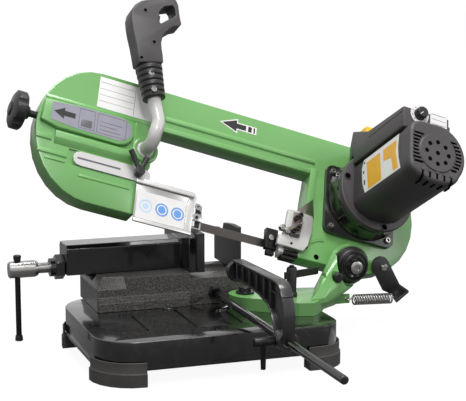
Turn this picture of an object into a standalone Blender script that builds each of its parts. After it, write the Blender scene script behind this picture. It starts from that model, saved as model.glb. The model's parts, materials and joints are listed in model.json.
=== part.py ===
"""Portable metal-cutting band saw: bow with motor, swivel column, vise and base.

Lengths are in millimetres and become Blender's metres through MM. +X runs along the vise screw,
towards the motor; +Y runs to the back of the saw; +Z is up. The saw stands on z = 0.

Four frames carry the pieces:
  layout  the base and the vise
  swivel  turns about the upright mitre bolt
  head    turns about the level pivot shaft; its X axis lies along the blade
  bow     lies in the plane of the two band wheels: X along the bow, Y across it, Z towards the motor
"""

import math

import bmesh
import bpy
from mathutils import Matrix, Vector

MM = 0.001
GAP = 0.3                     # clearance between neighbouring pieces
ASSEMBLY = "metal_band_saw"

# ---- driving dimensions -------------------------------------------------------------------------
LAYOUT_CENTRE = (28.8, -112.0)            # the layout's own X and Y of the saw's bounding-box centre

BASE_X = (-229.0, 152.0)
BASE_Y = (-117.0, 186.0)
BASE_TOP = 67.0
BASE_BOTTOM = 24.0
BASE_CORNER_LEFT = 62.0
BASE_CORNER_RIGHT = 40.0
BASE_WALL = 3.0
FOOT_PAD_TOP = 20.5
FOOT_STRAP_TOP = 37.0
FOOT_REACH = 7.0                          # how far a foot stands out past the tray

VISE_FRONT = 76.5
VISE_BACK = 197.0
VISE_LEFT = -189.0
BED_LEFT = -36.0                          # where the raised left block ends
BED_RIGHT = 64.0
BED_TOP = 111.0
BLOCK_TOP = 120.0
JAW_BACK = 221.0
JAW_TOP = 186.0
FIXED_JAW_X = 54.0
FIXED_JAW_FRONT = 95.0
MOVING_JAW_X = -10.0
SLIDE_Y = 149.0                           # mid plane of the jaws, the slide and the screw
SLIDE_HALF = 28.0
SLIDE_TOP = 169.0
SLIDE_LEFT = -227.0
SCREW_Z = 130.5
SCREW_HEAD_X = -316.0
T_BAR_X = -301.5

STOP_X = 6.0
STOP_Z = 85.5
STOP_RADIUS = 6.0
STOP_END_Y = -445.0
STOP_CLAMP_Y = -238.0
STOP_BOLT_Z = 85.5

MITRE_BOLT = (48.0, 45.0)
LOCK_STUD = (110.0, -2.0)
LOCK_TOP = 136.0
MITRE_RANGE = 45.0
PLATE_TOP = 88.0

PIVOT_X = 223.0
PIVOT_Z = 127.0
LUG_FRONT = 22.5
LUG_BACK = 36.0
LUG_RADIUS = 33.0
PIVOT_RADIUS = 8.0

SPRING_START = (207.0, -4.0, 76.0)        # hook on the column, in the layout frame
SPRING_END = (310.0, 24.0, 69.0)          # hook on the bow's arm, in the layout frame
SPRING_RADIUS = 7.6
SPRING_WIRE = 1.1
SPRING_TURNS = 14
ARM_TOP = (72.5, 6.0)                     # screw that holds the arm, in the head frame

RAISE = 17.4                              # the bow stands raised by this angle at rest
LEAN = 31.0                               # the bow plane leans back by this angle from upright
BLADE_Y = 65.0
BLADE_BELOW_PIVOT = 7.3
BOW_ZERO_FROM_PIVOT = 256.0               # the bow frame's zero lies this far left of the pivot

WHEEL_RADIUS = 88.0
WHEEL_HALF = 7.5
IDLER_U = -196.0
DRIVE_U = 276.0
WHEEL_V = 91.0
BLADE_WIDTH = 13.0
BLADE_THICK = 0.9

SHELL_HEIGHT = 115.0                      # half height of both housings, across the bow
IDLER_REACH = 98.0
DRIVE_REACH = 109.0
SHELL_V = 97.0
SHELL_BACK = -8.3
SHELL_FRONT = 22.0
SHELL_FACE = 17.0                         # inner side of the front wall
SHELL_WALL = 6.0
COVER_THICK = 1.4
BEAM_LOW = 137.0

MOTOR_U = 283.0
MOTOR_V = 110.0
PINION_RADIUS = 5.5

GUIDE_V = (39.0, 64.0)
HANDLE_W = 62.0
TUBE_FOOT = (-113.0, 97.0)
TUBE_RADIUS = 11.0
RIB_COUNT = 6

TENSION_V = 110.0
TENSION_W = 13.1
KNOB_U = -337.0
DIAL = (263.0, 176.0)

PARTS = bpy.data.collections.new(ASSEMBLY)
CUTTERS = bpy.data.collections.new("cutters")
FRAMES = {}
MATERIALS = {}


# ---- scene and frames ---------------------------------------------------------------------------
def clear_scene():
    for item in list(bpy.data.objects):
        bpy.data.objects.remove(item, do_unlink=True)


def add_frame(name, parent, place, turn=(0.0, 0.0, 0.0)):
    empty = bpy.data.objects.new("frame_" + name, None)
    empty.location = Vector(place) * MM
    empty.rotation_euler = [math.radians(angle) for angle in turn]
    empty.parent = FRAMES.get(parent)
    PARTS.objects.link(empty)
    FRAMES[name] = empty
    return empty


def build_frames():
    add_frame("layout", None, (-LAYOUT_CENTRE[0], -LAYOUT_CENTRE[1], 0.0))
    add_frame("swivel", "layout", (*MITRE_BOLT, 0.0))
    add_frame("head", "swivel", (PIVOT_X - MITRE_BOLT[0], BLADE_Y - MITRE_BOLT[1], PIVOT_Z), (0.0, RAISE, 0.0))
    add_frame("bow", "head", (-BOW_ZERO_FROM_PIVOT, 0.0, -BLADE_BELOW_PIVOT), (90.0 - LEAN, 0.0, 0.0))


def material(name):
    if name in MATERIALS:
        return MATERIALS[name]
    colour, rough, metal = FINISHES[name]
    item = bpy.data.materials.new(name)
    item.use_nodes = True
    shader = item.node_tree.nodes["Principled BSDF"]
    shader.inputs["Base Color"].default_value = (*colour, 1.0)
    shader.inputs["Roughness"].default_value = rough
    shader.inputs["Metallic"].default_value = metal
    MATERIALS[name] = item
    return item


FINISHES = {
    "green_paint": ((0.22, 0.50, 0.14), 0.35, 0.0),
    "black_gloss": ((0.02, 0.02, 0.02), 0.2, 0.0),
    "black_casting": ((0.03, 0.03, 0.03), 0.6, 0.0),
    "black_steel": ((0.03, 0.03, 0.03), 0.3, 0.4),
    "bright_steel": ((0.62, 0.62, 0.62), 0.3, 1.0),
    "aluminium": ((0.75, 0.75, 0.76), 0.35, 1.0),
    "grey_plastic": ((0.07, 0.065, 0.062), 0.5, 0.0),
    "black_plastic": ((0.015, 0.015, 0.015), 0.4, 0.0),
    "rubber": ((0.06, 0.06, 0.06), 0.8, 0.0),
    "pale_paint": ((0.72, 0.72, 0.70), 0.35, 0.0),
    "yellow_plastic": ((0.85, 0.6, 0.02), 0.4, 0.0),
    "red_plastic": ((0.65, 0.02, 0.02), 0.35, 0.0),
}


# ---- solids -------------------------------------------------------------------------------------
def new_part(name, mesh, frame, place, turn, finish):
    """Wrap a mesh as a named part (finish given) or as a hidden tool (finish None)."""
    part = bpy.data.objects.new(name, mesh)
    part.parent = FRAMES[frame]
    part.location = Vector(place) * MM
    part.rotation_euler = [math.radians(angle) for angle in turn]
    if finish is None:
        CUTTERS.objects.link(part)
        part.hide_render = True
        part.display_type = "WIRE"
    else:
        PARTS.objects.link(part)
        mesh.materials.clear()
        mesh.materials.append(material(finish))
    return part


def mesh_of(bm, name):
    bmesh.ops.recalc_face_normals(bm, faces=bm.faces)
    mesh = bpy.data.meshes.new(name)
    bm.to_mesh(mesh)
    bm.free()
    return mesh


def smooth(part, angle=32.0):
    part.data.shade_smooth()
    part.data.set_sharp_from_angle(angle=math.radians(angle))
    return part


def block(name, low, high, frame, finish, round_by=0.0, turn=(0.0, 0.0, 0.0)):
    """A box between two corners given in its frame, with rounded edges where asked."""
    size = [b - a for a, b in zip(low, high)]
    middle = [(a + b) / 2 for a, b in zip(low, high)]
    bm = bmesh.new()
    bmesh.ops.create_cube(bm, size=MM)
    bmesh.ops.scale(bm, vec=size, verts=bm.verts)
    if round_by:
        bmesh.ops.bevel(bm, geom=list(bm.edges), offset=round_by * MM, affect="EDGES", segments=2,
                        profile=0.5, material=-1)
    return new_part(name, mesh_of(bm, name), frame, middle, turn, finish)


def cylinder(name, start, end, radius, frame, finish, sides=28, tip_radius=None, bevel=0.0):
    """A round bar or cone between two points given in its frame."""
    axis = Vector(end) - Vector(start)
    bm = bmesh.new()
    bmesh.ops.create_cone(bm, cap_ends=True, segments=sides, radius1=radius * MM,
                          radius2=(radius if tip_radius is None else tip_radius) * MM, depth=axis.length * MM)
    if bevel:
        rims = [edge for edge in bm.edges if abs(edge.verts[0].co.z - edge.verts[1].co.z) < 1e-7]
        bmesh.ops.bevel(bm, geom=rims, offset=bevel * MM, affect="EDGES", segments=2, profile=0.5, material=-1)
    turn = axis.to_track_quat("Z", "Y").to_euler()
    part = new_part(name, mesh_of(bm, name), frame, (Vector(start) + Vector(end)) / 2, (0, 0, 0), finish)
    part.rotation_euler = turn
    return smooth(part)


def turned(name, profile, base, axis, frame, finish, sides=32):
    """A lathe shape: profile holds (radius, height) pairs, up the outer side; a ring never meets the axis."""
    mesh = bpy.data.meshes.new(name)
    ring = profile[0][0] > 0.0
    points = [(radius * MM, 0.0, height * MM) for radius, height in reversed(profile)]
    edges = [(i, i + 1) for i in range(len(points) - 1)]
    if ring:
        edges.append((len(points) - 1, 0))
    mesh.from_pydata(points, edges, [])
    part = new_part(name, mesh, frame, base, (0, 0, 0), finish)
    part.rotation_euler = Vector(axis).to_track_quat("Z", "Y").to_euler()
    screw = part.modifiers.new("turn", "SCREW")
    screw.steps = sides
    screw.render_steps = sides
    screw.use_merge_vertices = True
    screw.merge_threshold = 0.00001
    screw.use_smooth_shade = False
    return part


def solid_from_curve(curve, name, frame, place, turn, finish):
    """Turn a curve's surface into a welded mesh, so that it can be cut and joined."""
    holder = bpy.data.objects.new(name + "_curve", curve)
    bpy.context.scene.collection.objects.link(holder)
    bpy.context.view_layer.update()
    mesh = bpy.data.meshes.new_from_object(holder.evaluated_get(bpy.context.evaluated_depsgraph_get()))
    bpy.data.objects.remove(holder, do_unlink=True)
    bm = bmesh.new()
    bm.from_mesh(mesh)
    bmesh.ops.remove_doubles(bm, verts=bm.verts, dist=0.00002)
    bmesh.ops.recalc_face_normals(bm, faces=bm.faces)
    bm.to_mesh(mesh)
    bm.free()
    mesh.name = name
    return new_part(name, mesh, frame, place, turn, finish)


def plate(name, outline, span, frame, finish, place=(0, 0, 0), turn=(0, 0, 0)):
    """A flat outline in the local XY plane, with thickness from span[0] to span[1] along local Z."""
    curve = bpy.data.curves.new(name, "CURVE")
    curve.dimensions = "2D"
    curve.fill_mode = "BOTH"
    curve.extrude = (span[1] - span[0]) / 2 * MM
    spline = curve.splines.new("POLY")
    spline.points.add(len(outline) - 1)
    for point, (x, y) in zip(spline.points, outline):
        point.co = (x * MM, y * MM, 0.0, 1.0)
    spline.use_cyclic_u = True
    middle = Matrix.Translation((0, 0, (span[0] + span[1]) / 2))
    rotation = Matrix.Rotation(math.radians(turn[2]), 4, "Z")
    rotation = rotation @ Matrix.Rotation(math.radians(turn[1]), 4, "Y")
    rotation = rotation @ Matrix.Rotation(math.radians(turn[0]), 4, "X")
    offset = (rotation @ middle).translation + Vector(place)
    return solid_from_curve(curve, name, frame, offset, turn, finish)


def pipe(name, points, radius, frame, finish, resolution=4, smooth_path=True, segments=5):
    """A bent round bar through points, with closed ends."""
    curve = bpy.data.curves.new(name, "CURVE")
    curve.dimensions = "3D"
    curve.bevel_depth = radius * MM
    curve.bevel_resolution = resolution
    curve.use_fill_caps = True
    route = sample_path(points, segments) if smooth_path else points
    spline = curve.splines.new("POLY")
    spline.points.add(len(route) - 1)
    for point, place in zip(spline.points, route):
        point.co = (*[value * MM for value in place], 1.0)
    return smooth(solid_from_curve(curve, name, frame, (0, 0, 0), (0, 0, 0), finish))


def sample_path(points, segments):
    """Points along a smooth curve through the given ones."""
    ends = [Vector(points[0]) * 2 - Vector(points[1]), Vector(points[-1]) * 2 - Vector(points[-2])]
    path = [ends[0]] + [Vector(p) for p in points] + [ends[1]]
    route = []
    for i in range(1, len(path) - 2):
        a, b, c, d = path[i - 1:i + 3]
        for step in range(segments):
            t = step / segments
            route.append(0.5 * (2 * b + (c - a) * t + (2 * a - 5 * b + 4 * c - d) * t * t
                                + (3 * b - a - 3 * c + d) * t ** 3))
    route.append(Vector(points[-1]))
    return route


def combine(target, tool, operation):
    modifier = target.modifiers.new(operation.lower(), "BOOLEAN")
    modifier.operation = operation
    modifier.object = tool
    modifier.solver = "EXACT"
    return target


def cut(target, *tools):
    for tool in tools:
        combine(target, tool, "DIFFERENCE")
    return target


def unite(target, *tools):
    for tool in tools:
        combine(target, tool, "UNION")
    return target


# ---- outlines -----------------------------------------------------------------------------------
def arc(centre, radius, start, end, steps):
    """Points on an arc, angles in degrees, both ends included."""
    return [(centre[0] + radius * math.cos(math.radians(start + (end - start) * i / steps)),
             centre[1] + radius * math.sin(math.radians(start + (end - start) * i / steps)))
            for i in range(steps + 1)]


def rounded(x, y, corner, steps=5):
    """A rectangle with its own radius at each side: corner is (left radius, right radius)."""
    left, right = corner
    return (arc((x[1] - right, y[1] - right), right, 0, 90, steps)
            + arc((x[0] + left, y[1] - left), left, 90, 180, steps)
            + arc((x[0] + left, y[0] + left), left, 180, 270, steps)
            + arc((x[1] - right, y[0] + right), right, 270, 360, steps))


def tray_outline(grow, steps=6):
    return rounded((BASE_X[0] - grow, BASE_X[1] + grow), (BASE_Y[0] - grow, BASE_Y[1] + grow),
                   (BASE_CORNER_LEFT + grow, BASE_CORNER_RIGHT + grow), steps)


def capsule(start, end, radius, steps=6):
    """A slot outline with round ends."""
    angle = math.degrees(math.atan2(end[1] - start[1], end[0] - start[0]))
    return (arc(end, radius, angle - 90, angle + 90, steps)
            + arc(start, radius, angle + 90, angle + 270, steps))


def hexagon(across_flats):
    radius = across_flats / math.sqrt(3)
    return arc((0, 0), radius, 0, 300, 5)


# ---- base and feet ------------------------------------------------------------------------------
def build_base():
    tray = plate("base_tray", tray_outline(0.0), (BASE_BOTTOM, BASE_TOP), "layout", "black_gloss")
    lip = plate("tray_lip", tray_outline(2.5), (BASE_BOTTOM, BASE_BOTTOM + 5), "layout", None)
    hollow = plate("tray_hollow", tray_outline(-BASE_WALL), (BASE_BOTTOM - 10, BASE_TOP - 5), "layout", None)
    edge = tray.modifiers.new("rolled_edge", "BEVEL")
    edge.width = 7 * MM
    edge.segments = 3
    edge.limit_method = "ANGLE"
    edge.angle_limit = math.radians(60)
    unite(tray, lip)
    cut(tray, hollow)
    for number, (x, length) in enumerate([(-152.0, 95.0), (-76.0, 110.0), (-2.0, 75.0)]):
        slot = plate("tray_slot_%d" % number, capsule((x, -52), (x, -52 + length), 11.0),
                     (BASE_TOP - 2, BASE_TOP + 8), "layout", None)
        cut(tray, slot)


def build_foot(name, side_x, side_y, reach_x, reach_y):
    """A rubber foot that holds one corner of the tray: a thick pad under it and a strap round it."""
    corner_x = BASE_X[1] if side_x > 0 else BASE_X[0]
    corner_y = BASE_Y[1] if side_y > 0 else BASE_Y[0]
    window = block(name + "_window", (min(corner_x + side_x * 30, corner_x - side_x * reach_x),
                                      min(corner_y + side_y * 30, corner_y - side_y * reach_y), -5),
                   (max(corner_x + side_x * 30, corner_x - side_x * reach_x),
                    max(corner_y + side_y * 30, corner_y - side_y * reach_y), 60), "layout", None)
    foot = plate(name, tray_outline(FOOT_REACH), (0, FOOT_PAD_TOP), "layout", "rubber")
    strap = plate(name + "_strap", tray_outline(FOOT_REACH - 2), (FOOT_PAD_TOP - 6, FOOT_STRAP_TOP), "layout", None)
    seat = plate(name + "_seat", tray_outline(2.5 + GAP), (BASE_BOTTOM - GAP, 80), "layout", None)
    well = plate(name + "_well", tray_outline(-18), (-10, 80), "layout", None)
    combine(foot, strap, "UNION")
    cut(foot, seat, well)
    combine(foot, window, "INTERSECT")


def build_feet():
    build_foot("foot_front_left", -1, -1, 66, 60)
    build_foot("foot_front_right", 1, -1, 60, 60)
    build_foot("foot_rear_left", -1, 1, 66, 60)
    build_foot("foot_rear_right", 1, 1, 60, 60)


# ---- vise ---------------------------------------------------------------------------------------
def build_vise_bed():
    side = [(VISE_LEFT, BASE_TOP + GAP), (BED_RIGHT, BASE_TOP + GAP), (BED_RIGHT, BED_TOP),
            (BED_LEFT, BED_TOP), (BED_LEFT, BLOCK_TOP), (VISE_LEFT + 13, BLOCK_TOP), (VISE_LEFT, 103)]
    bed = plate("vise_bed", side, (-VISE_BACK, -VISE_FRONT), "layout", "black_casting", turn=(90, 0, 0))
    ledges = [block("bed_ledge_low", (VISE_LEFT + 1, VISE_FRONT - 4, BASE_TOP + GAP), (BED_LEFT, VISE_FRONT + 2, 81),
                    "layout", None),
              block("bed_ledge_high", (VISE_LEFT + 1, VISE_FRONT - 2, 80), (BED_LEFT, VISE_FRONT + 2, 90.5),
                    "layout", None)]
    hollow = block("bed_hollow", (VISE_LEFT + 10, VISE_FRONT + 9, 50), (BED_RIGHT - 8, VISE_BACK - 9, 100),
                   "layout", None)
    relief = plate("bed_relief", [(VISE_FRONT - 5, 98), (VISE_FRONT + 16, 119.0), (VISE_FRONT + 16, 130),
                                  (VISE_FRONT - 5, 130)],
                   (VISE_LEFT - 5, VISE_LEFT + 48), "layout", None, turn=(90, 0, 90))
    bore = cylinder("bed_rod_bore", (STOP_X, 60, STOP_Z), (STOP_X, 95, STOP_Z), STOP_RADIUS + GAP, "layout", None)
    channel = block("bed_channel", (BED_LEFT + 6, 122, 106), (BED_RIGHT + 5, 176, 115), "layout", None)
    collar_way = block("bed_collar_way", (VISE_LEFT - 5, SLIDE_Y - 23, 108), (VISE_LEFT + 32, SLIDE_Y + 23, 125),
                       "layout", None)
    unite(bed, *ledges)
    cut(bed, hollow, relief, bore, channel, collar_way)


def build_fixed_jaw():
    """Upright jaw; its front end is bevelled so that the bow can swing past it for mitre cuts."""
    face = [(FIXED_JAW_FRONT, BED_TOP + GAP), (JAW_BACK, BED_TOP + GAP), (JAW_BACK, 167), (178, 167), (172, 182),
            (134, JAW_TOP), (FIXED_JAW_FRONT, JAW_TOP)]
    thick = 8.0
    jaw = plate("fixed_jaw", face, (FIXED_JAW_X, FIXED_JAW_X + thick), "layout", "black_casting", turn=(90, 0, 90))
    bevel = plate("jaw_bevel", [(FIXED_JAW_X - 1, FIXED_JAW_FRONT - 1), (FIXED_JAW_X + 12, FIXED_JAW_FRONT - 1),
                                (FIXED_JAW_X + 12, FIXED_JAW_FRONT + 12)], (100, 200), "layout", None)
    cut(jaw, bevel)


def build_moving_jaw():
    half = SLIDE_HALF
    ridge = 6.0
    section = [(SLIDE_Y - half, BLOCK_TOP + GAP), (SLIDE_Y + half, BLOCK_TOP + GAP),
               (SLIDE_Y + half, SLIDE_TOP - ridge), (SLIDE_Y + half - ridge, SLIDE_TOP),
               (SLIDE_Y - half + ridge, SLIDE_TOP), (SLIDE_Y - half, SLIDE_TOP - ridge)]
    jaw = plate("moving_jaw", section, (SLIDE_LEFT, MOVING_JAW_X - 20), "layout", "black_gloss", turn=(90, 0, 90))
    cavity = block("jaw_cavity", (SLIDE_LEFT + 10, SLIDE_Y - half + 8, BLOCK_TOP - 10),
                   (MOVING_JAW_X - 34, SLIDE_Y + half - 8, SLIDE_TOP - 8), "layout", None)
    bore = cylinder("jaw_bore", (SLIDE_LEFT - 5, SLIDE_Y, SCREW_Z), (SLIDE_LEFT + 20, SLIDE_Y, SCREW_Z), 9.5,
                    "layout", None)
    root = MOVING_JAW_X - 14
    low = BLOCK_TOP + GAP
    back = [(VISE_FRONT + 1.5, low), (JAW_BACK - 1, low), (JAW_BACK - 1, 172), (196, 183),
            (VISE_FRONT + 14, 183), (VISE_FRONT + 1.5, 178)]
    plate_back = plate("jaw_plate_back", back, (root - 12, root), "layout", None, turn=(90, 0, 90))
    unite(jaw, plate_back)
    cut(jaw, cavity, bore)
    block("moving_jaw_plate", (root + GAP, VISE_FRONT, low), (MOVING_JAW_X, JAW_BACK, 184), "layout",
          "black_steel", round_by=0.8)
    collar = plate("screw_collar", hexagon(36), (0, 14), "layout", "black_steel",
                   place=(SLIDE_LEFT - 14 - GAP, SLIDE_Y, SCREW_Z), turn=(0, 90, 0))
    nose = cylinder("collar_nose", (SLIDE_LEFT - 23, SLIDE_Y, SCREW_Z), (SLIDE_LEFT - 10, SLIDE_Y, SCREW_Z), 15,
                    "layout", None)
    hole = cylinder("collar_hole", (SLIDE_LEFT - 30, SLIDE_Y, SCREW_Z), (SLIDE_LEFT + 5, SLIDE_Y, SCREW_Z),
                    8.5 + GAP, "layout", None)
    unite(collar, nose)
    cut(collar, hole)


def build_vise_screw():
    nut = block("vise_nut", (-140, SLIDE_Y - 15, BLOCK_TOP + GAP), (-112, SLIDE_Y + 15, 150), "layout", "bright_steel",
                round_by=1.5)
    thread_hole = cylinder("nut_hole", (-145, SLIDE_Y, SCREW_Z), (-105, SLIDE_Y, SCREW_Z), 8.5 + GAP, "layout", None)
    cut(nut, thread_hole)
    head_end = -269.0
    profile = [(0, 0), (11.5, 0), (13.5, 2), (13.5, 42), (11.5, head_end - SCREW_HEAD_X), (8.5, head_end - SCREW_HEAD_X),
               (8.5, -60 - SCREW_HEAD_X), (6.5, -56 - SCREW_HEAD_X), (0, -56 - SCREW_HEAD_X)]
    screw = turned("vise_screw", profile, (SCREW_HEAD_X, SLIDE_Y, SCREW_Z), (1, 0, 0), "layout", "bright_steel", 28)
    cross = cylinder("screw_cross_hole", (T_BAR_X, SLIDE_Y, SCREW_Z - 25), (T_BAR_X, SLIDE_Y, SCREW_Z + 25), 4.8,
                     "layout", None, sides=20)
    cut(screw, cross)
    top, low = 154.0, 13.5
    cylinder("t_bar", (T_BAR_X, SLIDE_Y, low + 4), (T_BAR_X, SLIDE_Y, top - 4), 4.5, "layout", "black_steel", sides=20)
    for name, end, way in (("t_bar_cap_upper", top, -1), ("t_bar_cap_lower", low, 1)):
        cap = turned(name, [(0, 0), (5.2, 0), (6.6, 1.2), (5.6, 9.2), (0, 9.2)],
                     (T_BAR_X, SLIDE_Y, end), (0, 0, way), "layout", "black_plastic", 20)
        socket = cylinder(name + "_socket", (T_BAR_X, SLIDE_Y, end + way * (4 - GAP)),
                          (T_BAR_X, SLIDE_Y, end + way * 20), 4.5 + GAP, "layout", None, sides=20)
        cut(cap, socket)


# ---- work stop ----------------------------------------------------------------------------------
def build_stop():
    cylinder("stop_rod", (STOP_X, STOP_END_Y, STOP_Z), (STOP_X, 92, STOP_Z), STOP_RADIUS, "layout", "black_steel",
             bevel=1.0)
    nut = plate("stop_rod_nut", hexagon(19), (0, 8), "layout", "black_steel",
                place=(STOP_X, VISE_FRONT - GAP, STOP_Z), turn=(90, 0, 0))
    hole = cylinder("rod_nut_hole", (STOP_X, 60, STOP_Z), (STOP_X, 82, STOP_Z), STOP_RADIUS + GAP, "layout", None)
    cut(nut, hole)
    low, high = STOP_CLAMP_Y - 13, STOP_CLAMP_Y + 13
    bush = turned("stop_bush", [(STOP_RADIUS + GAP, 1), (8.5, 1), (8.5, 25), (STOP_RADIUS + GAP, 25)],
                  (STOP_X, low, STOP_Z), (0, 1, 0), "layout", "bright_steel", 24)
    build_stop_bracket(low, high)
    build_stop_lever()
    return bush


def build_stop_bracket(low, high):
    """Hub on the rod, a bowed leg up from it, and a ribbed arm back to the stop disc."""
    outer = [(-240, 66), (-249, 84), (-251, 106), (-252, 120), (-248, 139), (-241, 152), (-231, 163), (-214, 164),
             (-133, 162), (-38, 159)]
    inner = [(-38, 129), (-55, 134), (-105, 136), (-152, 132), (-185, 127), (-202, 118), (-208, 108), (-214, 96),
             (-222, 66)]
    bracket = plate("stop_bracket", outer + inner, (STOP_X - 3, STOP_X + 3), "layout", "black_casting",
                    turn=(90, 0, 90))
    rail = [(-214, 164), (-133, 162), (-38, 159), (-38, 155), (-133, 158), (-214, 160)]
    top = plate("stop_top_flange", rail, (STOP_X - 9, STOP_X + 9), "layout", None, turn=(90, 0, 90))
    edge = [(-249, 84), (-251, 106), (-252, 120), (-248, 139), (-241, 152), (-231, 163), (-213, 164), (-213, 160),
            (-229, 158.5), (-237, 149), (-243.5, 137), (-247, 120), (-246, 106), (-244, 84)]
    front = plate("stop_front_flange", edge, (STOP_X - 9, STOP_X + 9), "layout", None, turn=(90, 0, 90))
    disc = cylinder("stop_disc", (STOP_X, -40, 144), (STOP_X, -31, 144), 17, "layout", None, bevel=1.0)
    ring = cylinder("stop_ring", (STOP_X, low, STOP_Z), (STOP_X, high, STOP_Z), 15, "layout", None)
    bore = cylinder("stop_bore", (STOP_X, low - 5, STOP_Z), (STOP_X, high + 20, STOP_Z), 8.5 + GAP, "layout", None)
    screw_hole = cylinder("stop_screw_hole", (STOP_X - 30, STOP_CLAMP_Y, STOP_BOLT_Z),
                          (STOP_X, STOP_CLAMP_Y, STOP_BOLT_Z), 4.3, "layout", None, sides=20)
    unite(bracket, top, front, disc, ring)
    pockets = [(-229, 134, 8), (-231, 115, 8), (-188, 146, 9), (-157, 147, 9), (-126, 148, 9), (-95, 148, 8),
               (-66, 147, 8)]
    for number, (y, z, radius) in enumerate(pockets):
        pocket = cylinder("stop_pocket_%d" % number, (STOP_X - 12, y, z), (STOP_X + 12, y, z), radius, "layout", None,
                          sides=20)
        cut(bracket, pocket)
    cut(bracket, bore, screw_hole)


def build_stop_lever():
    """Set screw against the bush, with a cross head and a hanging grip."""
    left = STOP_X - 15.5 - GAP
    bar = cylinder("stop_clamp_lever", (left - 31, STOP_CLAMP_Y, STOP_BOLT_Z), (left, STOP_CLAMP_Y, STOP_BOLT_Z), 6.8,
                   "layout", "black_steel", bevel=1.0)
    stud = cylinder("stop_lever_stud", (left - 2, STOP_CLAMP_Y, STOP_BOLT_Z),
                    (STOP_X - 8.5 - GAP, STOP_CLAMP_Y, STOP_BOLT_Z), 4.0, "layout", None, sides=20)
    grip = cylinder("stop_lever_grip", (left - 17, STOP_CLAMP_Y, STOP_BOLT_Z - 4), (left - 17, STOP_CLAMP_Y, 46), 4.6,
                    "layout", None, sides=16, tip_radius=3.6)
    unite(bar, stud, grip)


# ---- swivel column ------------------------------------------------------------------------------
def hull(name, points, frame, finish):
    """The convex body round a set of points, for a drafted casting."""
    bm = bmesh.new()
    for point in points:
        bm.verts.new(Vector(point) * MM)
    result = bmesh.ops.convex_hull(bm, input=bm.verts, use_existing_faces=False)
    loose = [item for item in result["geom_interior"] if isinstance(item, bmesh.types.BMVert)]
    bmesh.ops.delete(bm, geom=loose, context="VERTS")
    bmesh.ops.dissolve_limit(bm, angle_limit=math.radians(1.0), verts=bm.verts, edges=bm.edges)
    bmesh.ops.triangulate(bm, faces=bm.faces)
    return new_part(name, mesh_of(bm, name), frame, (0, 0, 0), (0, 0, 0), finish)


def build_swivel():
    foot = (arc(MITRE_BOLT, 27, 20, 200, 10) + [(30, 18), (69, -13), (104, -50)]
            + arc(MITRE_BOLT, 128, -52, -30, 4) + [(186, 0), (205, 22), (205, LUG_BACK), (148, 52), (80, 54)])
    casting = plate("swivel_casting", foot, (BASE_TOP + GAP, PLATE_TOP), "swivel", "green_paint",
                    place=(-MITRE_BOLT[0], -MITRE_BOLT[1], 0))
    lug = [(x, y, z) for x, z in arc((PIVOT_X, PIVOT_Z), LUG_RADIUS, 0, 345, 23) for y in (LUG_FRONT, LUG_BACK)]
    root = [(128, -40), (152, -38), (178, -23), (202, 12), (204, LUG_BACK), (165, LUG_BACK)]
    body = [(x, y, z) for x, y in root for z in (PLATE_TOP - 6, PLATE_TOP + 2)] + lug
    column = hull("swivel_column", [(x - MITRE_BOLT[0], y - MITRE_BOLT[1], z) for x, y, z in body], "swivel", None)
    bolt_hole = cylinder("mitre_hole", (0, 0, 50), (0, 0, 110), 8 + GAP, "swivel", None)
    stud_x, stud_y = LOCK_STUD[0] - MITRE_BOLT[0], LOCK_STUD[1] - MITRE_BOLT[1]
    reach = math.hypot(stud_x, stud_y)
    bearing = math.degrees(math.atan2(stud_y, stud_x))
    track = (arc((0, 0), reach + 5.5, bearing - MITRE_RANGE - 5, bearing + 5, 10)
             + arc((0, 0), reach - 5.5, bearing + 5, bearing - MITRE_RANGE - 5, 10))
    slot = plate("mitre_slot", track, (60, 95), "swivel", None)
    pivot = (PIVOT_X - MITRE_BOLT[0], PIVOT_Z)
    shaft_hole = cylinder("pivot_hole", (pivot[0], -60, pivot[1]), (pivot[0], 30, pivot[1]), PIVOT_RADIUS + GAP,
                          "swivel", None)
    pin = (184 - MITRE_BOLT[0], 117)
    pin_hole = cylinder("lock_pin_hole", (pin[0], -60, pin[1]), (pin[0], 30, pin[1]), 3 + GAP, "swivel", None, 16)
    lug_x, lug_y, lug_z = (a - b for a, b in zip(SPRING_START, (*MITRE_BOLT, 0.0)))
    hook_lug = block("spring_lug", (lug_x - 24, lug_y + 5, BASE_TOP + 1.5), (lug_x + 6, lug_y + 11, lug_z + 7),
                     "swivel", None)
    hook_hole = cylinder("spring_lug_hole", (lug_x, lug_y - 20, lug_z), (lug_x, lug_y + 30, lug_z), 2.4, "swivel", None,
                         16)
    pin_face = cylinder("lock_pin_face", (pin[0], -100, pin[1]), (pin[0], -8 - MITRE_BOLT[1], pin[1]), 10, "swivel",
                        None)
    cap_room = cylinder("pivot_cap_room", (pivot[0], -100, pivot[1]), (pivot[0], LUG_FRONT - MITRE_BOLT[1], pivot[1]),
                        LUG_RADIUS + 1, "swivel", None, 40)
    lever_room = cylinder("lock_lever_room", (stud_x, stud_y, 116.5), (stud_x, stud_y, 130.5), 56.5, "swivel", None, 48)
    unite(casting, column, hook_lug)
    cut(casting, bolt_hole, slot, shaft_hole, pin_hole, pin_face, cap_room, hook_hole, lever_room)
    build_pivot(pivot[0], pin)


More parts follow.
